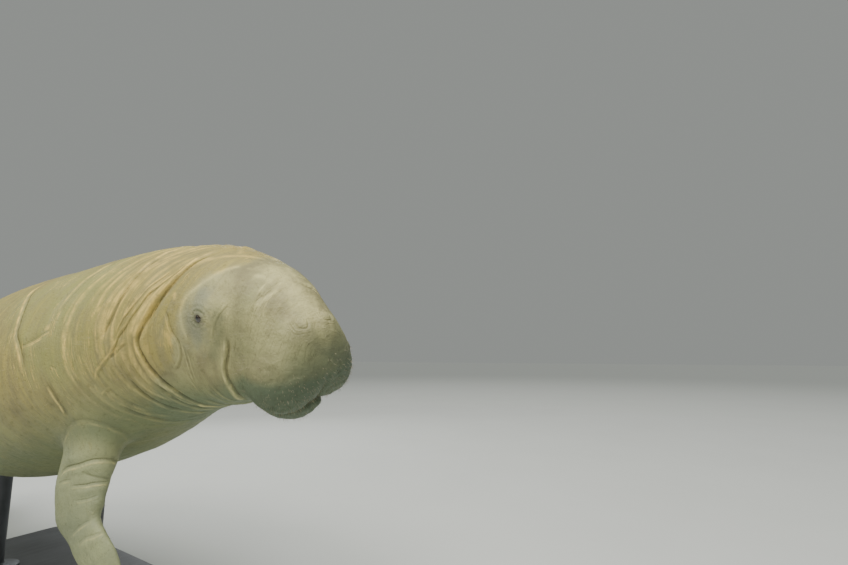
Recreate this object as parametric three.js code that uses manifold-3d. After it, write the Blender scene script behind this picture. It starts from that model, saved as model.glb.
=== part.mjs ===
// A life-size Florida manatee on a plain display stand, built as a scene graph of closed solids.
// Units are millimetres and +Z is up. The animal faces +X and leans a little towards -Y, its right.
//
// The animal is shaped straight first, in its own coordinates: station, the distance behind the tip of
// the snout; across, to the animal's left; and height above its long axis. Every solid is cut there,
// while left mirrors right, and is then bent along the spine into the swimming pose.
import * as THREE from "three";
import { mergeVertices } from "three/addons/utils/BufferGeometryUtils.js";
import Module from "manifold-3d";

const wasm = await Module();
wasm.setup();

// Driving dimensions
const BODY_LENGTH = 2800;
const SEAM = 0.4; // gap that neighbouring solids keep
const RING_SIDES = 44; // sides of a body section

// Body outlines as [station, value]: back and belly heights above the long axis, and half width
const BACK = [
  [120, 30], [230, 128], [330, 178], [430, 189], [600, 209], [800, 244], [1050, 286],
  [1300, 296], [1600, 268], [1850, 200], [2050, 130], [2200, 84], [2350, 50], [2560, 30], [2800, 14],
];
const BELLY = [
  [120, -60], [230, -168], [330, -200], [430, -222], [600, -262], [800, -296], [1050, -310],
  [1300, -304], [1600, -254], [1850, -176], [2050, -108], [2200, -74], [2350, -46], [2560, -28],
  [2800, -14],
];
const HALF_WIDTH = [
  [120, 40], [230, 120], [330, 160], [430, 194], [600, 240], [800, 290], [1050, 332],
  [1300, 342], [1600, 308], [1850, 240], [2040, 184], [2160, 172], [2300, 226], [2420, 276], [2560, 300],
];
const TAIL_ROUND_FROM = 2560; // the paddle's end is half an ellipse from here
const TAIL_LAST_DEGREES = 82; // where that ellipse is closed with a flat
const OVAL_FROM = 2160; // every section behind here is its plain oval

// Soft forms of the head, joined to the body outline: place is [station, across, height]
const HEAD_FORMS = [
  { place: [256, 0, 58], radii: [154, 126, 108], blend: 60 }, // crown
  { place: [160, 0, 48], radii: [116, 94, 85], blend: 50 }, // bridge of the snout
  { place: [90, 0, -22], radii: [94, 109, 96], blend: 40 }, // muzzle
  { place: [87, 53, -57], radii: [75, 64, 70], blend: 22, paired: true }, // hanging upper lip
  { place: [60, 26, 28], radii: [46, 36, 38], blend: 26, paired: true }, // mound round a nostril
  { place: [230, 72, -46], radii: [96, 62, 88], blend: 40, paired: true }, // cheek
  { place: [222, 98, 62], radii: [48, 30, 38], blend: 30, paired: true }, // orbit
];
const JAW = { place: [137, 0, -118], radii: [87, 66, 59], sides: 22, rows: 16 }; // chin and lower lip
const HEAD_FORMS_END = 512; // no form of the head shows behind here
const HEAD_AXIS_STATION = 130; // rays that shape the face start here
const HEAD_AXIS_HEIGHT = -24;

// Creases in the skin: station at the axis, how far it leans back with height, depth, half width,
// and the reach in degrees round the section, measured from its middle angle (90 is the back)
const CREASE_FADE = 24; // degrees over which a crease dies out at its ends
const CREASES = [
  { station: 122, lean: -0.2, depth: 7, width: 8, middle: 90, reach: 86 }, // across the snout
  { station: 168, lean: 0.04, depth: 13, width: 12, middle: 200, reach: 72, paired: true }, // behind the lip
  { station: 362, lean: 0.06, depth: 15, width: 14, middle: 90, reach: 340 }, // back of the head
  { station: 408, lean: 0.2, depth: 9, width: 12, middle: 90, reach: 150 },
  { station: 452, lean: 0.24, depth: 11, width: 14, middle: 90, reach: 190 },
  { station: 512, lean: 0.26, depth: 9, width: 17, middle: 90, reach: 150 },
  { station: 612, lean: 0.2, depth: 6, width: 24, middle: 90, reach: 150 },
];

// Stations where the body is parted, and the number of rings in each length
const SECTIONS = [
  { name: "neck", from: 362, to: 560, rings: 13 },
  { name: "chest", from: 560, to: 900, rings: 8 },
  { name: "torso", from: 900, to: 1350, rings: 6 },
  { name: "rump", from: 1350, to: 1800, rings: 7 },
  { name: "tail_stock", from: 1800, to: 2150, rings: 7 },
];
const MUZZLE_END = 150;
const HEAD_END = 362;
const FACE_RINGS = 12;
const MUZZLE_RINGS = 2;
const HEAD_RINGS = 14;
const PADDLE_RINGS = 6;
const PADDLE_ROUND_RINGS = 6;

// Eyes and nostrils
const EYE = { station: 222, height: 66, radius: 13, sunk: 9, sides: 12, rows: 8 };
const LID = { thick: 5, sunk: 2, sides: 8, steps: 16 };
const NOSTRIL = { station: 58, across: 23, height: 44, radius: 12.5, sides: 6 };
const NOSTRIL_RIM = { thick: 4.5, steps: 14 };
const NOSTRIL_PIT = { thick: 3, lift: 2, steps: 12 };

// Flippers: centre line as [station, across, height], with half width, half thickness, the way the
// trailing edge faces and its turn in degrees about the limb. The right one hangs down and forward,
// and the left one is swept back along the flank.
const FLIPPER_SIDES = 20;
const FLIPPER_WRIST = 0.5; // shares of the limb's length
const WRIST_GAP = 0.001;
const TIP_ROUND_FROM = 0.8;
const TIP_END = 0.985;
const WIDEST = 0.9; // the half width stays level from here, under the rounding
const FLIPPER_RINGS = { arm: 8, paddle: 11 };
const FLIPPER_SHAPE = [
  { width: 74, thick: 58 },
  { width: 71, thick: 50 },
  { width: 77, thick: 38 },
  { width: 77, thick: 30 },
  { width: 58, thick: 23 },
  { width: 75, thick: 17 },
  { width: 54, thick: 11 },
];
const RIGHT_FLIPPER = {
  line: [[694, -122, -120], [708, -184, -232], [736, -212, -306], [734, -233, -372], [714, -242, -424],
    [648, -251, -509], [594, -266, -590]],
  edge: [1, 0, 0],
  turn: [8, 10, 8, 4, 0, -2, -2],
};
const LEFT_FLIPPER = {
  line: [[660, 130, -56], [716, 236, -92], [790, 306, -112], [872, 344, -124], [956, 366, -132],
    [1040, 378, -138], [1120, 382, -142]],
  edge: [0, 0, 1],
  turn: [-16, -20, -24, -26, -28, -28, -28],
};
const NAILS = [
  { along: 0.9, across: -0.72, length: 22, width: 15 },
  { along: 0.94, across: -0.28, length: 26, width: 18 },
  { along: 0.94, across: 0.22, length: 26, width: 18 },
  { along: 0.9, across: 0.66, length: 20, width: 14 },
];
const NAIL = { thick: 7, sides: 10, rows: 6 };

// Pose: angles in degrees along the spine as [station, angle]
const NOSE_UP = [
  [0, -14], [250, -13], [400, -3], [700, 13], [1000, 13], [1600, 13], [2000, 18], [2300, 20], [2800, 8],
];
const TURN_LEFT = [[0, -1], [300, -1], [600, 0], [900, 0], [1900, 0], [2300, 3], [2800, 6]];
const BANK_RIGHT = [[0, 18], [300, 18], [700, 11], [1200, 4], [2000, 2], [2800, 0]];
const POSE_STATION = 1250; // this station stands over the base
const AXIS_HEIGHT = 740;
const SPINE_STEP = 10;
const SPINE_SPARE = 200; // the spine is walked this far past the snout and past the tail

// Display stand
const BASE = { length: 1250, width: 700, thick: 30, corner: 60, cornerSides: 6 };
const ROD = { radius: 24, sides: 24, frontStation: 1085, rearStation: 1790, intoBelly: 60 };
const ROD_FOOT = [[70, 0], [70, 8], [30, 14], [ROD.radius, 22]]; // radius and height of its flange

// Profiles

// A smooth line through [station, value] points: cubic pieces whose slopes span the neighbours.
function profile(points) {
  const slope = points.map((point, i) => {
    const before = points[Math.max(i - 1, 0)];
    const after = points[Math.min(i + 1, points.length - 1)];
    return (after[1] - before[1]) / (after[0] - before[0]);
  });
  return (station) => {
    const last = points.length - 1;
    if (station <= points[0][0]) return points[0][1];
    if (station >= points[last][0]) return points[last][1];
    const i = points.findIndex((point, k) => k < last && station < points[k + 1][0]);
    const span = points[i + 1][0] - points[i][0];
    const t = (station - points[i][0]) / span;
    const a = points[i][1];
    const b = points[i + 1][1];
    return (
      a * (2 * t ** 3 - 3 * t ** 2 + 1) + b * (3 * t ** 2 - 2 * t ** 3) +
      slope[i] * span * (t ** 3 - 2 * t ** 2 + t) + slope[i + 1] * span * (t ** 3 - t ** 2)
    );
  };
}

const backAt = profile(BACK);
const bellyAt = profile(BELLY);
const halfWidthAt = profile(HALF_WIDTH);
const TAIL_ROUND = BODY_LENGTH - TAIL_ROUND_FROM;

function sectionAt(station) {
  const past = THREE.MathUtils.clamp((station - TAIL_ROUND_FROM) / TAIL_ROUND, 0, 1);
  const end = Math.sqrt(Math.max(1 - past * past, 0));
  const middle = (backAt(station) + bellyAt(station)) / 2;
  const tall = ((backAt(station) - bellyAt(station)) / 2) * Math.sqrt(end);
  return { middle, tall, wide: halfWidthAt(station) * end };
}

// Fields: rough distances to a surface, negative inside

function ellipsoidField(point, place, radii) {
  const q = point.map((value, i) => (value - place[i]) / radii[i]);
  const near = Math.hypot(...q);
  const slope = Math.hypot(...q.map((value, i) => value / radii[i]));
  return near < 1e-6 ? -Math.min(...radii) : (near * (near - 1)) / slope;
}

function blend(a, b, reach) {
  const share = Math.max(reach - Math.abs(a - b), 0) / reach;
  return Math.min(a, b) - (share * share * reach) / 4;
}

const TRUNK_FRONT = 200; // the body outline is rounded off in front of here, under the head's forms
const TRUNK_NOSE = 90;

function trunkField([station, across, height]) {
  const { middle, tall, wide } = sectionAt(Math.max(station, TRUNK_FRONT));
  const ahead = Math.max(TRUNK_FRONT - station, 0) / TRUNK_NOSE;
  const out = Math.hypot(across / wide, (height - middle) / tall, ahead);
  return (out - 1) * Math.min(wide, tall);
}

// How strongly a crease shows at an angle round the section, from 1 at its middle to 0 past its reach.
function creaseShare(crease, angle) {
  const off = Math.abs(((angle - crease.middle + 540) % 360) - 180);
  return THREE.MathUtils.smoothstep((crease.reach + CREASE_FADE) / 2 - off, 0, CREASE_FADE);
}

function creaseDepth(crease, [station, across, height]) {
  const side = crease.paired && across > 0 ? -across : across;
  const angle = THREE.MathUtils.radToDeg(Math.atan2(height, side));
  const off = (station - crease.station - crease.lean * -height) / crease.width;
  return crease.depth * Math.exp(-off * off) * creaseShare(crease, angle);
}

function headField(point) {
  let field = trunkField(point);
  for (const form of HEAD_FORMS) {
    const [station, across, height] = point;
    const side = form.paired ? Math.abs(across) : across;
    field = blend(field, ellipsoidField([station, side, height], form.place, form.radii), form.blend);
  }
  return field;
}

function bodyField(point) {
  const head = point[0] < HEAD_FORMS_END ? headField(point) : trunkField(point);
  const creases = CREASES.reduce((sum, crease) => sum + creaseDepth(crease, point), 0);
  return head + creases;
}

const RAY_START = 40;
const RAY_STEP = 12;
const RAY_HALVINGS = 24;

// Walks out along a ray from inside the body until its field reaches a level.
function surfaceOnRay(origin, direction, level = 0) {
  const at = (distance) => origin.map((value, i) => value + direction[i] * distance);
  let inside = 0;
  let outside = RAY_START;
  while (bodyField(at(outside)) < level) {
    inside = outside;
    outside += RAY_STEP;
  }
  for (let i = 0; i < RAY_HALVINGS; i += 1) {
    const middle = (inside + outside) / 2;
    if (bodyField(at(middle)) < level) inside = middle;
    else outside = middle;
  }
  return at(outside);
}

// Geometry helpers

// Joins rings of points, of one count each, into a closed surface with a fan at either end.
function skinRings(rings) {
  const sides = rings[0].length;
  const mean = (ring, axis) => ring.reduce((sum, point) => sum + point[axis], 0) / sides;
  const centre = (ring) => [0, 1, 2].map((axis) => mean(ring, axis));
  const points = [centre(rings[0]), ...rings.flat(), centre(rings.at(-1))];
  const faces = [];
  for (let k = 0; k < sides; k += 1) {
    const next = (k + 1) % sides;
    faces.push([0, 1 + next, 1 + k]);
    for (let r = 0; r + 1 < rings.length; r += 1) {
      const row = 1 + r * sides;
      const below = row + sides;
      faces.push([row + k, row + next, below + next], [row + k, below + next, below + k]);
    }
    const end = 1 + (rings.length - 1) * sides;
    faces.push([points.length - 1, end + k, end + next]);
  }
  const geometry = new THREE.BufferGeometry();
  geometry.setAttribute("position", new THREE.Float32BufferAttribute(points.flat(), 3));
  geometry.setIndex(faces.flat());
  return geometry;
}

const WELD = 0.001; // points nearer than this are one point

// A solid that faces out, whichever way round its surface was listed.
function solidOf(geometry) {
  const bare = geometry.clone();
  bare.deleteAttribute("normal");
  bare.deleteAttribute("uv");
  const merged = mergeVertices(bare, WELD);
  const vertProperties = new Float32Array(merged.attributes.position.array);
  const make = (triVerts) => new wasm.Manifold(new wasm.Mesh({ numProp: 3, vertProperties, triVerts }));
  const triVerts = new Uint32Array(merged.index.array);
  const made = make(triVerts);
  return made.volume() > 0 ? made : make(triVerts.reverse());
}

function largestPiece(solid) {
  return solid.decompose().sort((a, b) => b.volume() - a.volume())[0];
}

function geometryOf(solid) {
  const mesh = solid.getMesh();
  const geometry = new THREE.BufferGeometry();
  geometry.setAttribute("position", new THREE.BufferAttribute(new Float32Array(mesh.vertProperties), 3));
  geometry.setIndex(new THREE.BufferAttribute(new Uint32Array(mesh.triVerts), 1));
  return geometry;
}

// A three.js geometry stood at a place in straight coordinates, its +Z turned to a direction.
function placed(geometry, place, direction = [0, 0, 1], spin = 0) {
  const turn = new THREE.Quaternion().setFromUnitVectors(
    new THREE.Vector3(0, 0, 1), new THREE.Vector3(...direction).normalize());
  return geometry.rotateZ(spin).applyQuaternion(turn).translate(...place);
}

// Body

function ringAt(station, grow = 0) {
  const { middle, tall, wide } = sectionAt(station);
  const lift = THREE.MathUtils.smoothstep(station, HEAD_AXIS_STATION, HEAD_END);
  const axisHeight = THREE.MathUtils.lerp(HEAD_AXIS_HEIGHT, middle, lift);
  return Array.from({ length: RING_SIDES }, (_, k) => {
    const angle = (k / RING_SIDES) * 2 * Math.PI;
    const across = wide * Math.cos(angle);
    const height = tall * Math.sin(angle);
    const length = Math.hypot(across, height);
    if (station > OVAL_FROM) return [station, across * (1 + grow / length), middle + height];
    return surfaceOnRay([station, 0, axisHeight], [0, across / length, height / length], grow);
  });
}

// Rings of the face: rays that fan out forward from one point inside the muzzle.
function faceRing(tilt, grow) {
  return Array.from({ length: RING_SIDES }, (_, k) => {
    const angle = (k / RING_SIDES) * 2 * Math.PI;
    const direction = [-Math.cos(tilt), Math.sin(tilt) * Math.cos(angle), Math.sin(tilt) * Math.sin(angle)];
    return surfaceOnRay([HEAD_AXIS_STATION, 0, HEAD_AXIS_HEIGHT], direction, grow);
  });
}

function evenly(from, to, count) {
  return Array.from({ length: count + 1 }, (_, i) => THREE.MathUtils.lerp(from, to, i / count));
}

function faceStations() {
  return evenly(0, Math.PI / 2, FACE_RINGS).slice(1, -1);
}

function muzzleGeometry() {
  const face = faceStations().map((tilt) => faceRing(tilt, 0));
  const side = evenly(HEAD_AXIS_STATION, MUZZLE_END - SEAM / 2, MUZZLE_RINGS).map((s) => ringAt(s));
  return skinRings([...face, ...side]);
}

function stationsOf({ from, to, rings }) {
  return evenly(from + SEAM / 2, to - SEAM / 2, rings);
}

function lengthGeometry(length) {
  return skinRings(stationsOf(length).map((station) => ringAt(station)));
}

// The upper head and throat, grown a little all round: what the jaw is fitted against.
function grownHeadGeometry() {
  const face = faceStations().map((tilt) => faceRing(tilt, SEAM));
  const muzzle = evenly(HEAD_AXIS_STATION, MUZZLE_END - SEAM / 2, MUZZLE_RINGS);
  const skull = stationsOf({ from: MUZZLE_END, to: HEAD_END, rings: HEAD_RINGS });
  return skinRings([...face, ...[...muzzle, ...skull].map((station) => ringAt(station, SEAM))]);
}

// The trunk grown a little all round: what flippers and rods are fitted against.
function grownTrunkGeometry() {
  return skinRings(SECTIONS.flatMap(stationsOf).map((station) => ringAt(station, SEAM)));
}

function paddleGeometry() {
  const straight = evenly(SECTIONS.at(-1).to + SEAM / 2, TAIL_ROUND_FROM, PADDLE_RINGS).slice(0, -1);
  const round = evenly(0, TAIL_LAST_DEGREES, PADDLE_ROUND_RINGS).map((degrees) =>
    TAIL_ROUND_FROM + TAIL_ROUND * Math.sin(THREE.MathUtils.degToRad(degrees)));
  return skinRings([...straight, ...round].map((station) => ringAt(station)));
}

// Eyes and nostrils

function outward(point) {
  const step = 2;
  const slope = [0, 1, 2].map((axis) => {
    const ahead = [...point];
    const behind = [...point];
    ahead[axis] += step;
    behind[axis] -= step;
    return bodyField(ahead) - bodyField(behind);
  });
  const length = Math.hypot(...slope);
  return slope.map((value) => value / length);
}

function eyeFrame(side) {
  const skin = surfaceOnRay([EYE.station, 0, EYE.height], [0, side, 0]);
  const direction = outward(skin);
  return { skin, direction, centre: skin.map((value, i) => value - direction[i] * EYE.sunk) };
}

function eyeball(side, grow = 0) {
  const ball = new THREE.SphereGeometry(EYE.radius + grow, EYE.sides, EYE.rows);
  return placed(ball, eyeFrame(side).centre);
}

// The ring of folded skin that closes round a manatee's eye.
function lids(side) {
  const { skin, direction } = eyeFrame(side);
  const place = skin.map((value, i) => value - direction[i] * LID.sunk);
  return placed(new THREE.TorusGeometry(EYE.radius, LID.thick, LID.sides, LID.steps), place, direction);
}

function nostrilFrame(side) {
  const from = [HEAD_AXIS_STATION, 0, HEAD_AXIS_HEIGHT];
  const aim = [NOSTRIL.station - from[0], side * NOSTRIL.across, NOSTRIL.height - from[2]];
  const length = Math.hypot(...aim);
  const skin = surfaceOnRay(from, aim.map((value) => value / length));
  return { skin, direction: outward(skin) };
}

function nostrilRim(side) {
  const { skin, direction } = nostrilFrame(side);
  const { thick, steps } = NOSTRIL_RIM;
  return placed(new THREE.TorusGeometry(NOSTRIL.radius, thick, NOSTRIL.sides, steps), skin, direction);
}

// The furrow round the valve of skin that shuts the nostril.
function nostrilPit(side) {
  const { skin, direction } = nostrilFrame(side);
  const { thick, lift, steps } = NOSTRIL_PIT;
  const lifted = skin.map((value, i) => value + direction[i] * lift);
  const radius = NOSTRIL.radius - NOSTRIL_RIM.thick;
  return placed(new THREE.TorusGeometry(radius, thick, NOSTRIL.sides, steps), lifted, direction);
}

function headSolids() {
  let skull = solidOf(lengthGeometry({ from: MUZZLE_END, to: HEAD_END, rings: HEAD_RINGS }));
  let muzzle = solidOf(muzzleGeometry());
  for (const side of [-1, 1]) {
    skull = skull.add(solidOf(lids(side))).subtract(solidOf(eyeball(side, SEAM)));
    muzzle = muzzle.add(solidOf(nostrilRim(side))).subtract(solidOf(nostrilPit(side)));
  }
  const chin = placed(new THREE.SphereGeometry(1, JAW.sides, JAW.rows).scale(...JAW.radii), JAW.place);
  const jaw = solidOf(chin).subtract(solidOf(grownHeadGeometry()));
  return { head: largestPiece(skull), muzzle: largestPiece(muzzle), lower_jaw: largestPiece(jaw) };
}

// Flippers

function curveThrough(points) {
  const knots = points.map((point) => new THREE.Vector3(...point));
  return new THREE.CatmullRomCurve3(knots, false, "centripetal");
}

function mix(list, t) {
  const place = THREE.MathUtils.clamp(t, 0, 1) * (list.length - 1);
  const i = Math.min(Math.floor(place), list.length - 2);
  return THREE.MathUtils.lerp(list[i], list[i + 1], THREE.MathUtils.smoothstep(place - i, 0, 1));
}

// The frame and half sizes of a flipper's section at a share of its length.
function flipperSection(flipper, t) {
  const curve = curveThrough(flipper.line);
  const centre = curve.getPoint(t);
  const along = curve.getTangent(t);
  const edge = new THREE.Vector3(...flipper.edge);
  edge.addScaledVector(along, -edge.dot(along)).normalize();
  const broad = edge.applyAxisAngle(along, THREE.MathUtils.degToRad(mix(flipper.turn, t)));
  const flat = new THREE.Vector3().crossVectors(along, broad);
  const past = THREE.MathUtils.clamp((t - TIP_ROUND_FROM) / (1 - TIP_ROUND_FROM), 0, 1);
  const end = Math.sqrt(Math.max(1 - past * past, 0));
  const width = mix(FLIPPER_SHAPE.map((shape) => shape.width), Math.min(t, WIDEST)) * end;
  const thick = mix(FLIPPER_SHAPE.map((shape) => shape.thick), t) * Math.sqrt(end);
  return { centre, along, broad, flat, width, thick };
}

function flipperRing(flipper, t, grow) {
  const { centre, broad, flat, width, thick } = flipperSection(flipper, t);
  return Array.from({ length: FLIPPER_SIDES }, (_, k) => {
    const angle = (k / FLIPPER_SIDES) * 2 * Math.PI;
    return centre.clone()
      .addScaledVector(broad, (width + grow) * Math.cos(angle))
      .addScaledVector(flat, (thick + grow) * Math.sin(angle))
      .toArray();
  });
}

function flipperGeometry(flipper, from, to, rings, grow = 0) {
  return skinRings(evenly(from, to, rings).map((t) => flipperRing(flipper, t, grow)));
}

function flipperSolids(side, flipper, chestGrown) {
  const arm = solidOf(flipperGeometry(flipper, 0, FLIPPER_WRIST - WRIST_GAP, FLIPPER_RINGS.arm));
  const paddle = flipperGeometry(flipper, FLIPPER_WRIST + WRIST_GAP, TIP_END, FLIPPER_RINGS.paddle);
  const grown = solidOf(flipperGeometry(flipper, FLIPPER_WRIST, TIP_END, FLIPPER_RINGS.paddle, SEAM));
  const parts = {
    [`flipper_${side}_arm`]: largestPiece(arm.subtract(chestGrown)),
    [`flipper_${side}_paddle`]: solidOf(paddle),
  };
  NAILS.forEach((nail, i) => {
    const plate = solidOf(nailGeometry(side, flipper, nail));
    parts[`nail_${side}_${i + 1}`] = largestPiece(plate.subtract(grown));
  });
  return parts;
}

// A nail is a low oval plate on the outer face of the paddle, near its rounded end.
function nailGeometry(side, flipper, nail) {
  const { centre, along, broad, flat, width, thick } = flipperSection(flipper, nail.along);
  const outer = side === "right" ? 1 : -1;
  const rise = thick * Math.sqrt(1 - nail.across ** 2);
  const place = centre.clone()
    .addScaledVector(broad, width * nail.across)
    .addScaledVector(flat, outer * rise);
  const frame = new THREE.Matrix4().makeBasis(broad, along, flat).setPosition(place);
  return new THREE.SphereGeometry(1, NAIL.sides, NAIL.rows)
    .scale(nail.width / 2, nail.length / 2, NAIL.thick / 2)
    .applyMatrix4(frame);
}

// Pose: the spine is walked from the station over the base, turning a little at every step

const noseUpAt = profile(NOSE_UP);
const turnLeftAt = profile(TURN_LEFT);
const bankRightAt = profile(BANK_RIGHT);

function spineFrame(station) {
  const pitch = THREE.MathUtils.degToRad(noseUpAt(station));
  const yaw = THREE.MathUtils.degToRad(turnLeftAt(station));
  const forward = new THREE.Vector3(
    Math.cos(pitch) * Math.cos(yaw), Math.cos(pitch) * Math.sin(yaw), Math.sin(pitch));
  const left = new THREE.Vector3(-Math.sin(yaw), Math.cos(yaw), 0);
  left.applyAxisAngle(forward, THREE.MathUtils.degToRad(bankRightAt(station)));
  return { forward, left, up: new THREE.Vector3().crossVectors(forward, left) };
}

function walkSpine() {
  const first = -SPINE_SPARE;
  const count = Math.round((BODY_LENGTH + 2 * SPINE_SPARE) / SPINE_STEP);
  const points = [new THREE.Vector3()];
  for (let i = 0; i < count; i += 1) {
    const { forward } = spineFrame(first + (i + 0.5) * SPINE_STEP);
    points.push(points[i].clone().addScaledVector(forward, -SPINE_STEP));
  }
  const at = (station) => {
    const place = (station - first) / SPINE_STEP;
    const i = THREE.MathUtils.clamp(Math.floor(place), 0, points.length - 2);
    return points[i].clone().lerp(points[i + 1], place - i);
  };
  const shift = new THREE.Vector3(0, 0, AXIS_HEIGHT).sub(at(POSE_STATION));
  return (station) => at(station).add(shift);
}

const spineAt = walkSpine();

function posedPoint([station, across, height]) {
  const { left, up } = spineFrame(station);
  return spineAt(station).addScaledVector(left, across).addScaledVector(up, height);
}

function posed(geometry) {
  const bent = geometry.clone();
  const { position } = bent.attributes;
  for (let i = 0; i < position.count; i += 1) {
    posedPoint([position.getX(i), position.getY(i), position.getZ(i)]).toArray(position.array, i * 3);
  }
  return geometryOf(solidOf(bent));
}

// Stand

function baseGeometry(middle) {
  const x = BASE.length / 2 - BASE.corner;
  const y = BASE.width / 2 - BASE.corner;
  const outline = new THREE.Shape();
  outline.absarc(x, y, BASE.corner, 0, Math.PI / 2);
  outline.absarc(-x, y, BASE.corner, Math.PI / 2, Math.PI);
  outline.absarc(-x, -y, BASE.corner, Math.PI, Math.PI * 1.5);
  outline.absarc(x, -y, BASE.corner, Math.PI * 1.5, Math.PI * 2);
  const settings = { depth: BASE.thick, bevelEnabled: false, curveSegments: BASE.cornerSides };
  const plate = new THREE.ExtrudeGeometry(outline, settings);
  return plate.translate(middle, 0, 0);
}

// A rod rises from its flange on the base into the belly and is cut to the belly's own surface.
function rodGeometry(station, trunk) {
  const foot = posedPoint([station, 0, bellyAt(station)]);
  const bottom = BASE.thick + SEAM;
  const tall = foot.z + ROD.intoBelly - bottom;
  const outline = [[0, 0], ...ROD_FOOT, [ROD.radius, tall], [0, tall]];
  const rod = new THREE.LatheGeometry(outline.map((point) => new THREE.Vector2(...point)), ROD.sides);
  rod.rotateX(Math.PI / 2).translate(foot.x, foot.y, bottom);
  const below = solidOf(rod).subtract(trunk).decompose();
  return geometryOf(below.sort((a, b) => a.boundingBox().min[2] - b.boundingBox().min[2])[0]);
}

// Scene graph

const MATERIALS = {
  skin_head: { color: 0x8f8a7a, roughness: 0.62 },
  skin_body: { color: 0x948a62, roughness: 0.7 },
  eye: { color: 0x17120e, roughness: 0.12 },
  nail: { color: 0xb9ad92, roughness: 0.45 },
  stand: { color: 0x3a3b3d, roughness: 0.5, metalness: 0.4 },
};

function finishOf(name) {
  if (name.startsWith("stand_")) return "stand";
  if (name.startsWith("nail_")) return "nail";
  if (name.startsWith("eye_")) return "eye";
  return ["head", "muzzle", "lower_jaw"].includes(name) ? "skin_head" : "skin_body";
}

function meshOf(name, geometry) {
  const mesh = new THREE.Mesh(geometry, new THREE.MeshStandardMaterial(MATERIALS[finishOf(name)]));
  mesh.name = name;
  return mesh;
}

function buildManatee() {
  const group = new THREE.Group();
  const grownTrunk = grownTrunkGeometry();
  const grownBody = solidOf(grownTrunk);
  const flesh = {
    ...headSolids(),
    ...Object.fromEntries(SECTIONS.map((section) => [section.name, solidOf(lengthGeometry(section))])),
    tail_paddle: solidOf(paddleGeometry()),
    eye_right: solidOf(eyeball(-1)),
    eye_left: solidOf(eyeball(1)),
    ...flipperSolids("right", RIGHT_FLIPPER, grownBody),
    ...flipperSolids("left", LEFT_FLIPPER, grownBody),
  };
  for (const [name, solid] of Object.entries(flesh)) group.add(meshOf(name, posed(geometryOf(solid))));
  const posedTrunk = solidOf(posed(grownTrunk));
  group.add(meshOf("stand_rod_front", rodGeometry(ROD.frontStation, posedTrunk)));
  group.add(meshOf("stand_rod_rear", rodGeometry(ROD.rearStation, posedTrunk)));
  const middle = (posedPoint([ROD.frontStation, 0, 0]).x + posedPoint([ROD.rearStation, 0, 0]).x) / 2;
  group.add(meshOf("stand_base", baseGeometry(middle)));
  const bounds = new THREE.Box3().setFromObject(group);
  const centre = bounds.getCenter(new THREE.Vector3());
  group.position.set(-centre.x, -centre.y, -bounds.min.z);
  return group;
}

export default buildManatee();
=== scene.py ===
import math
from contextlib import contextmanager

import bmesh
import bpy
import numpy as np
from mathutils import Matrix, Vector


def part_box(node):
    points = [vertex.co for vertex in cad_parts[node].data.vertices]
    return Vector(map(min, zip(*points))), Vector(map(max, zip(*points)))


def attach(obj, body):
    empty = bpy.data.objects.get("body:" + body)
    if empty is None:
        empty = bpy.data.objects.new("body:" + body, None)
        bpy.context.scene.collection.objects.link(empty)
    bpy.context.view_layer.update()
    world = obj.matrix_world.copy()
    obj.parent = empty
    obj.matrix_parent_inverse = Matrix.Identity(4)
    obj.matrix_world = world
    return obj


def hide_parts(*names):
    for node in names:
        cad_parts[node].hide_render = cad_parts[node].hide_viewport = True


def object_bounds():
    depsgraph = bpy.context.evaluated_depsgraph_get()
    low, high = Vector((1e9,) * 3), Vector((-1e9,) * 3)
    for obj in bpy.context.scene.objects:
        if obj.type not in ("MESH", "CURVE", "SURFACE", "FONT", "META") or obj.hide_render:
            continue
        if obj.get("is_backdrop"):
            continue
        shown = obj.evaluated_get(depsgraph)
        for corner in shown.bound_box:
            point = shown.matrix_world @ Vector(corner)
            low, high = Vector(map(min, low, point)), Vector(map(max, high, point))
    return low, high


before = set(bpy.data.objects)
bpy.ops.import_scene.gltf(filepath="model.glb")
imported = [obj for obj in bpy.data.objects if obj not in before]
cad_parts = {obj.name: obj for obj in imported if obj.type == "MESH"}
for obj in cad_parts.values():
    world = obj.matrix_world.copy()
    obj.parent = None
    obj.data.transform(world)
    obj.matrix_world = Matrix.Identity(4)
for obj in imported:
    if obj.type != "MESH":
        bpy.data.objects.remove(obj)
CAD_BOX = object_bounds()

MM = 0.001
SEED = 11
SIDE_SIGN = {"right": -1, "left": 1}

# Shape of the animal, as in the solids: millimetres, in straight coordinates of station (behind the
# snout), across (to its left) and height (above the long axis)
BODY_LENGTH = 2800
BACK = [
    (120, 30), (230, 128), (330, 178), (430, 189), (600, 209), (800, 244), (1050, 286),
    (1300, 296), (1600, 268), (1850, 200), (2050, 130), (2200, 84), (2350, 50), (2560, 30), (2800, 14),
]
BELLY = [
    (120, -60), (230, -168), (330, -200), (430, -222), (600, -262), (800, -296), (1050, -310),
    (1300, -304), (1600, -254), (1850, -176), (2050, -108), (2200, -74), (2350, -46), (2560, -28),
    (2800, -14),
]
HALF_WIDTH = [
    (120, 40), (230, 120), (330, 160), (430, 194), (600, 240), (800, 290), (1050, 332),
    (1300, 342), (1600, 308), (1850, 240), (2040, 184), (2160, 172), (2300, 226), (2420, 276), (2560, 300),
]
TAIL_ROUND_FROM = 2560
TRUNK_FRONT = 200
TRUNK_NOSE = 90
HEAD_AXIS_STATION = 130
HEAD_AXIS_HEIGHT = -24
HEAD_END = 362
HEAD_REACH = 520  # no form of the head shows behind this station

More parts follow.
